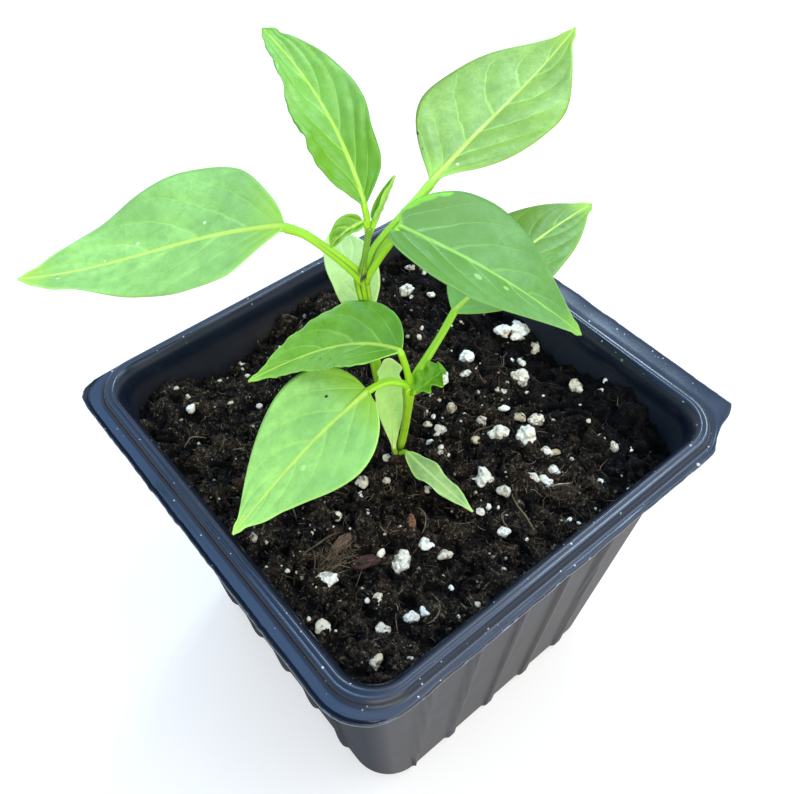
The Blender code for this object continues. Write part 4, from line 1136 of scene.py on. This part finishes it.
LEAVES = (
    Leaf("left_leaf", "leaf_left",
         ((-5.0, 3.7, 107.4), (-5.6, 3.7, 109.6), (-7.4, 4.8, 112.6), (-9.6, 6.6, 115.6),
          (-11.5, 8.8, 117.7), (-13.2, 11.4, 118.2)),
         130, 24, (-8, -52, 67), 44.2, 10.5, 13.3, (0.67, 1.26), -11, 8, 0.7,
         veins=(5.2, 0.5, 0.35), quilt=0.35, wave=(0.3, 2.4, 0.6), purple=0.9,
         trims=((-1, 0.68, 0.12, -0.55), (-1, 0.88, 0.1, 0.45), (-1, 0.07, 0.12, -1.1),
                (1, 0.05, 0.12, -1.2), (1, 0.16, 0.14, 0.5), (1, 0.33, 0.22, 0.9), (1, 0.9, 0.12, 0.9),
                (0, 0.965, 0.045, 0.45))),
    Leaf("top_leaf", "leaf_top", ((-4.7, 1.9, 118.6), (-4.6, 2.1, 121.0), (-4.7, 2.5, 123.3)),
         68, 36, (36, -5, -3), 30.0, 6.9, 5.8, (0.81, 0.95), -2, 26, 0.5,
         veins=(5.0, 0.5, 0.2), quilt=0.6, wave=(0.35, 2.6, 1.0), crinkle=0.55,
         trims=((0, 0.965, 0.045, 0.55), (1, 0.92, 0.08, 0.5), (-1, 0.62, 0.3, 0.0), (-1, 0.13, 0.13, 0.5),
                (-1, 0.33, 0.14, -0.5), (1, 0.22, 0.2, 0.8))),
    Leaf("upper_right_leaf", "leaf_upper_right",
         ((-4.8, 3.8, 107.2), (-4.0, 3.2, 110.0), (-2.0, 3.8, 112.4), (0.5, 4.0, 114.1), (4.8, 4.6, 115.8),
          (11.6, 6.3, 117.2)),
         18, -11, (8, -21, 40), 44.1, 13.7, 10.7, (1.2, 1.32), -1, 3, 0.72,
         veins=(5.4, 0.36, 0.15), quilt=0.35, wave=(0.4, 2.2, 2.0), purple=0.9,
         trims=((0, 0.965, 0.04, 0.45), (-1, 0.06, 0.1, -0.6))),
    Leaf("middle_right_leaf", "leaf_middle_right",
         ((-4.8, 3.6, 107.0), (-4.1, 2.5, 110.2), (-3.0, 0.9, 114.1), (-2.4, -0.8, 117.5),
          (-0.6, -0.4, 118.9)),
         -60, 13, (-10, -44, 12), 33.7, 10.4, 8.3, (0.48, 1.04), 5, 13,
         veins=(5.0, 0.5, 0.3), quilt=0.35, wave=(0.25, 1.6, 0.3), lobes=(1.6, 2.2), purple=0.8,
         trims=((1, 0.3, 0.4, 0.5), (0, 0.965, 0.04, 0.4))),
    Leaf("far_right_leaf", "leaf_far_right",
         ((-6.9, -10.3, 94.6), (-5.2, -9.8, 96.9), (-2.0, -9.2, 99.1), (1.4, -8.4, 101.0),
          (5.5, -6.9, 102.5)),
         2, 1, (19, -25, 1), 34.0, 8.7, 7.9, (0.74, 1.13), 2, 6, 0.62,
         veins=(5.0, 0.45, 0.0), quilt=0.35, wave=(0.3, 2.0, 1.2),
         trims=((1, 0.75, 0.3, 0.4), (-1, 0.2, 0.25, 0.9), (0, 0.96, 0.05, 0.45))),
    Leaf("centre_left_leaf", "leaf_centre_left",
         ((-6.9, -10.3, 94.4), (-6.7, -10.0, 97.4), (-7.2, -9.9, 100.6), (-8.5, -10.1, 105.4)),
         99, 61, (-12, -62, 55), 29.8, 8.3, 8.1, (0.79, 1.46), -4, 14, 0.55,
         veins=(5.0, 0.45, 0.4), quilt=0.4, wave=(0.3, 2.2, 2.6), crinkle=0.55,
         trims=((1, 0.5, 0.36, -2.1), (1, 0.12, 0.12, 0.6), (0, 0.965, 0.045, 0.3))),
    Leaf("lower_left_leaf", "leaf_lower_left",
         ((-6.8, -10.2, 94.6), (-7.4, -10.2, 96.8), (-8.4, -9.9, 97.9), (-10.2, -9.1, 98.8),
          (-12.2, -8.6, 98.8), (-13.4, -8.1, 98.1)),
         171, 14, (-24, -25, 22), 31.2, 10.0, 10.7, (0.47, 1.24), -1, 6,
         veins=(4.6, 0.5, 0.25), quilt=0.35, wave=(0.2, 1.8, 0.0),
         trims=((1, 0.35, 0.4, 0.6), (-1, 0.4, 0.3, 0.3), (1, 0.84, 0.12, 0.5), (0, 0.965, 0.045, 0.35))),
    Leaf("leaf_behind", "leaf_behind_stem", ((-4.3, 2.9, 93.2), (-4.6, 4.0, 95.0), (-4.5, 5.0, 95.8)),
         56, 24, (36, -24, -5), 19.4, 4.2, 4.9, (0.9, 0.7), 0, 10, 0.4,
         veins=(5.0, 0.4, 0.0), quilt=0.15, wave=(0.2, 2.0, 0.0)),
    Leaf("young_leaf_left", "tip_leaf_left", ((-4.7, 1.8, 119.0), (-5.0, 1.9, 120.2), (-5.5, 2.0, 120.9)),
         176, -20, (6, -66, 0), 6.2, 1.8, 2.1, (0.55, 0.95), -20, 40, 0.45,
         veins=(3.0, 0.4, 0.0), quilt=0.2, wave=(0.3, 1.4, 1.0), crinkle=0.3),
    Leaf("young_leaf_right", "tip_leaf_right", ((-4.5, 1.6, 118.8), (-4.1, 1.5, 119.8), (-3.7, 1.4, 120.8)),
         -10, -20, (62, 6, 0), 7.6, 1.1, 1.3, (0.35, 0.8), 0, 55, 0.5,
         veins=(4.0, 0.4, 0.0), quilt=0.1, wave=(0.15, 2.0, 0.0)),
    Leaf("curled_leaf", "axil_leaf", ((-6.8, -10.5, 94.6), (-7.2, -11.6, 96.0), (-7.2, -12.3, 96.9)),
         -5, -10, (20, 10, 0), 5.9, 2.5, 2.6, (0.42, 0.35), -10, 20, 0.4,
         veins=(2.6, 0.4, 0.0), quilt=0.3, wave=(0.7, 2.6, 0.5), crinkle=1.1,
         trims=((0, 0.22, 0.08, 0.3), (0, 0.37, 0.05, -0.25), (0, 0.51, 0.08, 0.35), (0, 0.66, 0.05, -0.25),
                (0, 0.8, 0.08, 0.4), (0, 0.95, 0.06, 0.5))),
    Leaf("seed_leaf_low", "seed_leaf_front", ((-5.2, -5.0, 71.2), (-4.6, -6.0, 72.2), (-4.4, -7.0, 72.6)),
         -90, 6, (4, -13, 2), 16.8, 2.2, 2.2, (0.52, 0.9), 0, 5, 0.5,
         veins=(0.0, 0.4, 0.0), quilt=0.0, wave=(0.5, 2.4, 0.8), crinkle=0.25,
         trims=((1, 0.5, 0.2, -0.25), (-1, 0.3, 0.16, 0.3), (-1, 0.7, 0.14, -0.2))),
    Leaf("seed_leaf_tall", "seed_leaf_back", ((-5.4, -5.1, 71.4), (-5.9, -5.2, 72.6), (-6.2, -5.3, 74.2)),
         64, 0, (79, 4, 2), 21.0, 3.0, 2.7, (0.98, 0.42), -4, 4, 0.45,
         veins=(0.0, 0.4, 0.0), quilt=0.0, wave=(0.2, 1.4, 0.0), ragged=0.6),
)


def leaf_direction(leaf, t):
    heading = math.radians(leaf.heading + leaf.turn * t)
    base, first, second = leaf.pitch
    pitch = math.radians(base + first * t + second * t * t)
    level = math.cos(pitch)
    return Vector((level * math.cos(heading), level * math.sin(heading), math.sin(pitch)))


def outline_share(swell, t):
    """The blade's half width at t as a share of its greatest half width."""
    base, tip = swell
    peak = base / (base + tip)
    return (t ** base) * ((1 - t) ** tip) / ((peak ** base) * ((1 - peak) ** tip))


def trimmed(leaf, side, t):
    """How far the leaf's own outline stands out from the even one, in millimetres."""
    return sum(rise * 0.5 * (1 + math.cos(math.pi * (t - centre) / span))
               for which, centre, span, rise in leaf.trims
               if which in (0, side) and abs(t - centre) < span)


def vein_phase(leaf, s, t):
    """Whole numbers of it lie on the side veins. s runs from -1 to 1 across the blade, t along it."""
    count, reach, shift = leaf.veins
    return count * (t - reach * np.abs(s) ** VEIN_ARCH) + shift + VEIN_STAGGER * (s > 0)


def blade_columns():
    """Places across the blade, left edge to right edge, close together at the midrib."""
    half = (np.arange(SIDE_COLUMNS + 1) / SIDE_COLUMNS) ** 1.35
    return np.concatenate([half[::-1], -half[1:]])


def leaf_rows(leaf):
    """The stalk's and the blade's sections: t, centre, left, up. t is negative on the stalk."""
    even = np.linspace(0, 1, ROWS * ROW_STEPS + 1)
    stations = 0.55 * even + 0.45 * (0.5 - 0.5 * np.cos(math.pi * even))  # closer towards both ends
    stalk = smooth_path(leaf.stalk, 0.45)
    point = Vector(stalk[-1])
    rows = []
    before = 0.0
    for index, t in enumerate(stations):
        point = point + leaf_direction(leaf, (t + before) / 2) * leaf.length * (t - before)
        before = t
        if index % ROW_STEPS:
            continue
        along = leaf_direction(leaf, t)
        heading = math.radians(leaf.heading + leaf.turn * t)
        flat_left = Vector((-math.sin(heading), math.cos(heading), 0.0))
        rolled = Matrix.Rotation(math.radians(leaf.roll), 3, along)
        rows.append((t, point, rolled @ flat_left, rolled @ along.cross(flat_left)))
    left = rows[0][2]
    below = []
    for i in range(len(stalk) - 2, -1, -1):
        along = Vector(stalk[i + 1] - stalk[max(i - 1, 0)]).normalized()
        left = (left - along * left.dot(along)).normalized()
        away = float(np.linalg.norm(stalk[-1] - stalk[i]))
        below.insert(0, (-away / leaf.length, Vector(stalk[i]), left, along.cross(left)))
    return below + rows


def stalk_section(leaf, t, centre, left, up, loop, upper):
    """A section of the stalk, grooved on top, and the distances of its points from the middle. It thickens
    towards its joint, and on some leaves swells in its last 2.5 mm before the blade."""
    swollen = 1 + 0.16 * max(0.0, 1 + t * leaf.length / 2.5) if leaf.purple else 1.0
    groove = 1 - 0.22 * np.exp(-(loop / GROOVE_HALF) ** 2) * upper
    radius = leaf.stalk_radius * swollen * (1 + 0.3 * max(0.0, -t * leaf.length - 6) / 8)
    half_round = np.sqrt(np.maximum(0.0, 1 - loop ** 2))
    lift = np.where(upper, half_round * groove, -half_round) * radius
    return centre + (loop * radius)[:, None] * left + lift[:, None] * up, loop * radius


def blade_widths(leaf, seed, t, loop):
    """The blade's half width at t, on the side of each point of the section."""
    wobble = np.array([1 + 0.022 * noise.noise(Vector((t * 6, 4.0 if s > 0 else 9.0, seed))) for s in loop])
    if leaf.ragged:
        bites = np.array([noise.noise(Vector((t * 9, 2.0 if s > 0 else 7.0, seed * 1.7))) for s in loop])
        wobble -= leaf.ragged * np.maximum(0.0, bites + 0.15) * min(1.0, max(0.0, t - 0.45) * 3)
    extra = np.where(loop > 0, trimmed(leaf, 1, t), trimmed(leaf, -1, t))
    widths = np.where(loop > 0, leaf.left, leaf.right) * outline_share(leaf.swell, t)
    return np.maximum(widths * wobble + extra, 0.0)


def blade_lift(leaf, seed, t, loop, reach, calm):
    """How far the blade rises from its even cup: waves, swells between veins, folds and the midrib."""
    rise, waves, start = leaf.wave
    lift = rise * np.abs(loop) ** 2.6 * calm * np.sin(2 * math.pi * waves * t + start + 1.9 * (loop > 0))
    signed = reach * np.sign(loop)
    if leaf.veins[0]:
        swell = (0.5 - 0.5 * np.cos(2 * math.pi * vein_phase(leaf, loop, t))) ** 0.7
        uneven = np.array([0.75 + noise.noise(Vector((r / 5, t * leaf.length / 5, seed * 3)))
                           for r in signed])
        lift += leaf.quilt * uneven * swell * np.abs(loop) ** 0.7 * (1 - np.abs(loop) ** 4) * calm
    if leaf.crinkle:
        folds = np.array([noise.noise(Vector((r / 2.2, t * leaf.length / 1.7, seed * 5))) for r in signed])
        lift += leaf.crinkle * folds * np.abs(loop) * calm
    return lift - 0.25 * leaf.quilt * np.exp(-(reach / 0.9) ** 2) * calm


def blade_skin(leaf, t, loop, upper, reach, stalk, calm):
    """How far the skin stands off the blade's middle: thin, with the stalk, midrib and veins in it."""
    thin = BLADE_HALF_THICKNESS * np.sqrt(np.maximum(0.0, 1 - np.abs(loop) ** 12))
    stalk_top = stalk * np.sqrt(np.maximum(0.0, 1 - (reach / max(stalk, 1e-6)) ** 2))
    rib = leaf.stalk_radius * (0.9 * (1 - t) ** 0.8 + 0.08)
    rib_low = rib * np.sqrt(np.maximum(0.0, 1 - (reach / rib) ** 2))
    vein = np.zeros_like(loop)
    if leaf.veins[0]:
        phase = vein_phase(leaf, loop, t)
        off = np.abs(phase - np.round(phase)) * leaf.length / leaf.veins[0] * VEIN_SLANT
        vein = VEIN_RELIEF * np.exp(-(off / 0.28) ** 2) * (1 - np.abs(loop) ** 2) * calm
    return np.where(upper, np.hypot(thin, stalk_top) - vein * 0.5, -np.hypot(thin, rib_low) - vein)


def blade_section(leaf, seed, t, centre, left, up, loop, upper):
    """A section of the blade, and its points' distances from the midrib and from the margin."""
    stalk = leaf.stalk_radius * max(0.0, 1 - t / STALK_FADE)
    widths = blade_widths(leaf, seed, t, loop)
    reach = np.hypot(widths, max(stalk, TIP_HALF)) * np.abs(loop)
    fold = math.radians(leaf.cup) * np.abs(loop) ** 0.6
    outward = np.sign(loop)[:, None] * left
    spot = centre + (reach * np.cos(fold))[:, None] * outward + (reach * np.sin(fold))[:, None] * up
    normal = np.cos(fold)[:, None] * up - np.sin(fold)[:, None] * outward
    calm = math.sin(math.pi * min(1.0, max(0.0, t))) ** 0.5  # no relief at the blade's two ends
    off = blade_lift(leaf, seed, t, loop, reach, calm) + blade_skin(leaf, t, loop, upper, reach, stalk, calm)
    # Two lobes reach back beside the stalk
    back = np.where(loop > 0, leaf.lobes[0], leaf.lobes[1]) * max(0.0, 1 - t / LOBE_END) ** 1.5
    beside = np.minimum(1.0, reach / 3.0)
    rounded = np.sin(math.pi * np.minimum(1, np.abs(loop) * 0.75))
    spot = spot + off[:, None] * normal
    spot -= (back * beside * rounded)[:, None] * np.array(leaf_direction(leaf, t))
    return spot, reach, np.hypot(widths, TIP_HALF) * (1 - np.abs(loop))


def leaf_piece(leaf, material, seed):
    columns = blade_columns()
    underneath = columns[-2:0:-1]
    loop = np.concatenate([columns, underneath])
    upper = np.concatenate([np.ones(len(columns), bool), np.zeros(len(underneath), bool)])
    rows = leaf_rows(leaf)
    sections, place, edge = [], [], []
    for t, *axes in rows:
        centre, left, up = (np.array(v) for v in axes)
        if t < 0:
            section, off_mid = stalk_section(leaf, t, centre, left, up, loop, upper)
            to_margin = [STALK_EDGE] * len(loop)
        else:
            section, off_mid, to_margin = blade_section(leaf, seed, t, centre, left, up, loop, upper)
        sections.append(section)
        place += [(s, t, d) for s, d in zip(loop, off_mid)]
        edge += list(to_margin)
    points, faces = skin_over(sections)
    piece = make_piece(leaf.name, points, faces, material)
    layer = piece.data.attributes.new("leaf_place", "FLOAT_VECTOR", "POINT")
    layer.data.foreach_set("vector", np.array(place, dtype=np.float32).ravel())
    mark(piece, "edge", edge)
    mark(piece, "underside", np.tile(1.0 - upper, len(rows)))
    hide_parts(leaf.stands_for)
    return piece


def make_marking_group():
    """The places of the midrib, side veins, fine net and margin, read from the leaf's own measures."""
    group, given = make_group("leaf_markings", [(label, 0.0) for label in MEASURES],
                              ("Midrib", "Veins", "Net", "Margin", "Between"))
    across, t, off_mid = xyz(marked(group, "leaf_place", "Vector"))
    place = object_place(group)
    shaky = times(calc("SUBTRACT", mottle(place, 260.0, 2.0), 0.5), 0.05)
    # The phase of vein_phase, and from it the distance to the nearest side vein in millimetres
    size = calc("ABSOLUTE", across)
    arched = times(calc("POWER", size, VEIN_ARCH), given["Reach"])
    moved = calc("ADD", calc("SUBTRACT", t, arched), shaky)
    left_side = times(calc("GREATER_THAN", across, 0.0), VEIN_STAGGER)
    phase = calc("ADD", times(moved, given["Count"]), calc("ADD", given["Shift"], left_side))
    fraction = calc("ABSOLUTE", calc("SUBTRACT", calc("FRACT", phase), 0.5))
    apart = times(calc("SUBTRACT", 0.5, fraction), times(given["Length"], VEIN_SLANT))
    apart = calc("DIVIDE", apart, calc("MAXIMUM", given["Count"], 0.01))
    width = calc("ADD", times(calc("SUBTRACT", 1.0, size), 0.34), 0.2)
    vein = spread(apart, 0.0, width, 1.0, 0.0, smooth=True)
    fade = times(spread(size, 0.25, 0.95, 1.0, 0.25), spread(t, 0.0, 0.06))
    veins = times(times(vein, fade), calc("GREATER_THAN", given["Count"], 0.5))
    narrowing = calc("SUBTRACT", 1.0, times(calc("POWER", t, 0.7), 0.78))
    rib = times(given["Midrib Width"], narrowing)
    midrib = spread(calc("ABSOLUTE", off_mid), times(rib, 0.35), rib, 1.0, 0.0, smooth=True)
    stray = add_node(group, "ShaderNodeTexNoise", {"Vector": place, "Scale": 900.0}).outputs["Color"]
    bent = add_node(group, "ShaderNodeMix", {0: 0.0015, 4: place, 5: stray}, data_type="VECTOR").outputs[1]
    cells = add_node(group, "ShaderNodeTexVoronoi", {"Vector": bent, "Scale": 950.0},
                     feature="DISTANCE_TO_EDGE").outputs["Distance"]
    return close_group(group, Midrib=midrib, Veins=veins,
                       Net=spread(cells, 0.0, 0.2, 1.0, 0.0, smooth=True),
                       Margin=spread(marked(group, "edge"), 0.0, 0.55, 1.0, 0.0, smooth=True),
                       Between=spread(apart, 0.6, 2.4))


MEASURES = ("Count", "Reach", "Shift", "Length", "Midrib Width")
marking_group = make_marking_group()
STALK_GREEN = seen(152, 222, 36)
STALK_LINE = seen(70, 44, 40)
JOINT_STAIN = seen(84, 56, 44)
DRIED_DROP = seen(235, 245, 235)
LINE_AT = 0.62  # the stalk's purple lines run at this share of its radius


def spot_share(leaf, place, s, t, size):
    """A round mark on the upper side, size millimetres wide, s of the way across and t along a leaf."""
    across, along, _ = xyz(place)
    across = times(calc("SUBTRACT", across, s), 0.5 * (leaf.left + leaf.right))
    along = times(calc("SUBTRACT", along, t), leaf.length)
    square = calc("ADD", calc("POWER", across, 2.0), calc("POWER", along, 2.0))
    apart = calc("SQRT", square)
    above = spread(marked(place.id_data, "underside"), 0.0, 0.1, 1.0, 0.0)
    return times(spread(apart, size * 0.35, size * 0.6, 1.0, 0.0), above)


def stalk_lines(leaf, colour, across, t, below, fine):
    """The purple lines along the stalk's upper edges, and the stain at its joint."""
    off = calc("ABSOLUTE", calc("SUBTRACT", calc("ABSOLUTE", across), LINE_AT))
    line = spread(off, 0.06, 0.2, leaf.purple, 0.0)
    reach = sum(math.dist(a, b) for a, b in zip(leaf.stalk, leaf.stalk[1:])) / leaf.length
    fade = spread(t, -reach * 0.95, -reach * 0.15, 1.0, 0.0)
    shown = times(times(line, fade), calc("SUBTRACT", 1.0, below))
    colour = blend(shown, colour, STALK_LINE)
    joint = times(spread(t, -reach + 0.075, -reach + 0.03), spread(fine, 0.42, 0.56, 0.0, 0.8))
    return blend(joint, colour, JOINT_STAIN)


def leaf_finish(leaf, light, dark, midrib, vein, base, tip, rough=0.4, speckled=0.0,
                base_reach=0.16, base_full=0.03, spots=(), margin=None):
    """A leaf's material: cloudy green between light and dark, yellow-green at the stalk, margin and tip."""
    light, dark, midrib, vein, base, tip = (seen(*c) for c in (light, dark, midrib, vein, base, tip))
    # Unless given, the margin is paler than the blade: partly its own pale edge, partly a painted glow of
    # light through it
    rim = seen(*margin) if margin else tuple(min(0.95, 1.2 * a + 0.1 * b) for a, b in zip(light, tip))
    deep = tuple(0.82 * c for c in dark)
    pale = tuple(0.5 * (a + b) + 0.06 for a, b in zip(light, vein))
    material, tree, shader = new_material(f"{leaf.name}_skin", Roughness=rough, Specular_IOR_Level=0.4)
    place = object_place(tree)
    measures = (*leaf.veins, leaf.length, leaf.stalk_radius * 1.08)
    marks = use_group(tree, marking_group, dict(zip(MEASURES, measures)))
    place_on_leaf = marked(tree, "leaf_place", "Vector")
    across, t, _ = xyz(place_on_leaf)
    cloud = mottle(place, 130.0, 4.0, 0.6)
    fine = mottle(place, 700.0, 4.0, 0.65)
    colour = blend(spread(cloud, 0.36, 0.64), light, dark)
    colour = blend(spread(fine, 0.42, 0.66, 0.0, 0.5), colour, deep)
    colour = blend(spread(mottle(place, 320.0), 0.5, 0.7, 0.0, 0.4), colour, light)
    colour = blend(times(marks["Between"], 0.18), colour, dark)
    colour = blend(times(marks["Net"], 0.07), colour, vein)
    colour = blend(spread(t, base_reach, base_full, 0.0, 0.85), colour, base)
    colour = blend(spread(t, 0.86, 1.0, 0.0, 0.85), colour, tip)
    for label, strength, shade in (("Veins", 0.42, vein), ("Midrib", 0.9, midrib), ("Margin", 0.75, rim)):
        colour = blend(times(marks[label], strength), colour, shade)
    below = marked(tree, "underside")
    blade_below = times(below, calc("GREATER_THAN", t, 0.0))
    colour = blend(times(blade_below, 0.6), colour, pale)
    colour = blend(spread(t, 0.02, -0.01, 0.0, 0.9), colour, STALK_GREEN)
    if leaf.purple:
        colour = stalk_lines(leaf, colour, across, t, below, fine)
    for s, along, size, tint in spots:
        colour = blend(spot_share(leaf, place_on_leaf, s, along, size), colour, seen(*tint))
    if speckled:
        colour = blend(specks(tree, 230.0, 0.09, speckled), colour, DRIED_DROP)
    sunk = calc("ADD", times(marks["Veins"], 0.5), times(marks["Net"], 0.12))
    height = calc("SUBTRACT", times(fine, 0.35), sunk)
    feed(shader, colour, spread(fine, 0.3, 0.7, rough - 0.05, rough + 0.08), height, 0.5, 0.0002)
    return material


# Each leaf's colours as seen. A spot has its place across and along the blade, size and colour
FRESH = dict(light=(158, 222, 124), dark=(130, 194, 104), midrib=(192, 232, 96),
             vein=(172, 228, 112), base=(156, 214, 66), tip=(168, 222, 78))
LOOKS = {
    "left_leaf": dict(FRESH, light=(150, 210, 110), dark=(122, 178, 88), tip=(162, 210, 60), speckled=0.1,
                      spots=((-0.21, 0.3, 0.55, (196, 232, 176)), (-0.2, 0.56, 0.7, (196, 230, 176)),
                             (-0.22, 0.6, 0.6, (190, 228, 170)), (0.3, 0.86, 0.8, (214, 238, 190)))),
    "top_leaf": dict(light=(136, 196, 108), dark=(110, 176, 58), midrib=(176, 226, 70), vein=(154, 212, 80),
                     base=(94, 156, 0), tip=(118, 184, 76), margin=(96, 162, 6), rough=0.36,
                     base_reach=0.62, base_full=0.26),
    "upper_right_leaf": dict(FRESH, light=(138, 184, 60), dark=(114, 158, 44), midrib=(188, 218, 88),
                             tip=(160, 206, 52), margin=(156, 208, 84), speckled=0.06,
                             spots=((0.97, 0.2, 0.7, (50, 56, 30)), (0.9, 0.14, 0.5, (60, 60, 34)))),
    "middle_right_leaf": dict(FRESH, light=(104, 160, 84), dark=(86, 142, 54), midrib=(138, 196, 80),
                              vein=(126, 184, 92), base=(80, 134, 10), tip=(138, 196, 60), rough=0.38,
                              base_reach=0.6,
                              spots=((0.8, 0.02, 3.0, (112, 190, 20)), (0.93, 0.07, 2.6, (112, 190, 20)),
                                     (0.97, 0.13, 1.8, (116, 192, 40)), (-0.32, 0.4, 1.4, (142, 190, 130)),
                                     (-0.23, 0.54, 1.0, (144, 198, 90)), (-0.15, 0.21, 0.5, (74, 120, 56)))),
    "far_right_leaf": dict(FRESH, light=(116, 168, 66), dark=(94, 142, 42), base=(130, 204, 100),
                           vein=(150, 202, 96),
                           spots=((0.0, 0.985, 1.0, (52, 48, 40)), (-0.2, 0.74, 0.8, (96, 104, 60)))),
    "centre_left_leaf": dict(FRESH, light=(130, 196, 78), dark=(106, 172, 48), base=(92, 156, 8),
                             tip=(150, 216, 84), rough=0.36, base_reach=0.4, base_full=0.08,
                             spots=((0.45, 0.5, 0.5, (66, 106, 44)), (0.5, 0.42, 0.4, (70, 108, 48)))),
    "lower_left_leaf": dict(FRESH, light=(162, 226, 118), dark=(134, 196, 102), tip=(174, 232, 98),
                            spots=((-0.4, 0.18, 0.55, (34, 30, 22)), (0.25, 0.5, 1.1, (176, 230, 146)))),
    "leaf_behind": dict(light=(184, 222, 138), dark=(166, 208, 118), midrib=(198, 232, 150),
                        vein=(198, 234, 150), base=(180, 220, 130), tip=(190, 230, 146)),
    "young_leaf_left": dict(FRESH, light=(104, 168, 24), dark=(78, 142, 12), base=(96, 160, 24)),
    "young_leaf_right": dict(FRESH, light=(118, 182, 34), dark=(92, 156, 18), base=(104, 166, 26)),
    "curled_leaf": dict(light=(112, 178, 8), dark=(78, 146, 2), midrib=(134, 198, 40),
                        vein=(110, 176, 20), base=(104, 172, 10), tip=(148, 214, 70), rough=0.45),
    "seed_leaf_low": dict(light=(182, 224, 142), dark=(128, 172, 98), midrib=(184, 224, 140),
                          vein=(180, 220, 140), base=(150, 200, 90), tip=(190, 226, 100)),
    # Painted light: the tall seed leaf's pale colours are pushed brighter, past 255 in green, to stand for
    # light shining through it
    "seed_leaf_tall": dict(light=(206, 272, 172), dark=(190, 262, 150), midrib=(206, 255, 156),
                           vein=(206, 255, 156), base=(176, 228, 104), tip=(206, 255, 160)),
}
for seed, leaf in enumerate(LEAVES):
    finish = leaf_finish(leaf, **LOOKS[leaf.name])
    leaf_piece(leaf, finish, float(seed))

# --- Floor, lights and camera ---
# The plant stands on a white, faintly glowing table. Two broad warm lamps, in front and on the right, a
# small cool one behind and a pale ceiling with two bright panes light it softly from all round.

FLOOR_GREY = (0.5, 0.44, 0.355, 1.0)
FLOOR_GLOW = 0.48
FLOOR_HALF = 6.0
HORIZON = (0.8, 0.82, 0.85)
OVERHEAD = (0.5, 0.82, 1.4)
SKYLIGHT_AT = (0.0, 0.5, 0.866)
SKYLIGHT = (1.1, 2.0, 3.7)
PANE = (2.9, 3.7, 5.2)
CEILING_LIGHT = 1.0
LAMPS_AIM = (0, 0, 0.08)
CAMERA_PLACE = (-0.06495, -0.07826, 0.2005)
CAMERA_AIM = (-0.0001, 0.0011, 0.078)
CAMERA_ROLL = -0.6
CAMERA_LENS = 38.99


def make_stage():
    material, _, _ = new_material("pale_floor", Base_Color=FLOOR_GREY, Roughness=0.9,
                                  Emission_Color=(1.0, 1.0, 1.0, 1.0), Emission_Strength=FLOOR_GLOW)
    corners = [(x * FLOOR_HALF, y * FLOOR_HALF, 0) for x, y in ((-1, -1), (1, -1), (1, 1), (-1, 1))]
    mesh = bpy.data.meshes.new("floor")
    mesh.from_pydata(corners, [], [(0, 1, 2, 3)])
    mesh.materials.append(material)
    floor = in_scene("floor", mesh)


def make_ceiling():
    """Pale grey near the horizon and pale blue overhead, with a round skylight and a square pane."""
    world = bpy.data.worlds.new("studio")
    bpy.context.scene.world = world
    world.use_nodes = True
    tree = world.node_tree
    direction = add_node(tree, "ShaderNodeTexCoord").outputs["Generated"]
    x, y, height = xyz(direction)
    colour = blend(spread(height, 0.2, 0.75, smooth=True), HORIZON, OVERHEAD)
    facing = add_node(tree, "ShaderNodeVectorMath", {0: direction, 1: SKYLIGHT_AT}, operation="DOT_PRODUCT")
    colour = blend(spread(facing.outputs["Value"], 0.88, 0.985, smooth=True), colour, SKYLIGHT)
    pane = spread(y, 0.02, -0.16, smooth=True)
    for part, low, high in ((y, -0.62, -0.45), (x, 0.0, 0.25), (height, 0.5, 0.65)):
        pane = times(pane, spread(part, low, high, smooth=True))
    colour = blend(pane, colour, PANE)
    backdrop = tree.nodes["Background"]
    tree.links.new(colour, backdrop.inputs["Color"])
    backdrop.inputs["Strength"].default_value = CEILING_LIGHT


def aimed(holder, place, aim):
    """Puts a lamp or the camera in its place, looking at aim."""
    holder.location = place
    holder.rotation_mode = "QUATERNION"
    holder.rotation_quaternion = (Vector(aim) - Vector(place)).to_track_quat("-Z", "Y")
    return holder


def soft_light(name, place, size, watts, colour):
    lamp = bpy.data.lights.new(name, "AREA")
    lamp.shape = "SQUARE"
    lamp.size = size
    lamp.energy = watts
    lamp.color = colour
    aimed(in_scene(name, lamp), place, LAMPS_AIM)


def make_camera():
    lens = bpy.data.cameras.new("camera")
    lens.lens = CAMERA_LENS
    lens.sensor_width = 36.0
    lens.clip_start = 0.005
    camera = aimed(in_scene("camera", lens), CAMERA_PLACE, CAMERA_AIM)
    camera.rotation_quaternion @= Quaternion((0, 0, 1), math.radians(CAMERA_ROLL))
    bpy.context.scene.camera = camera


make_stage()
make_ceiling()
make_camera()
soft_light("key", (0.3, -0.3, 1.15), 1.0, 4.0, (1.0, 0.84, 0.55))
soft_light("window", (0.5, 0.34, 0.85), 0.22, 4.2, (0.6, 0.8, 1.0))
soft_light("front", (-0.35, -0.95, 0.55), 1.0, 7.3, (1.0, 0.93, 0.78))
bpy.context.scene.view_settings.view_transform = "Standard"
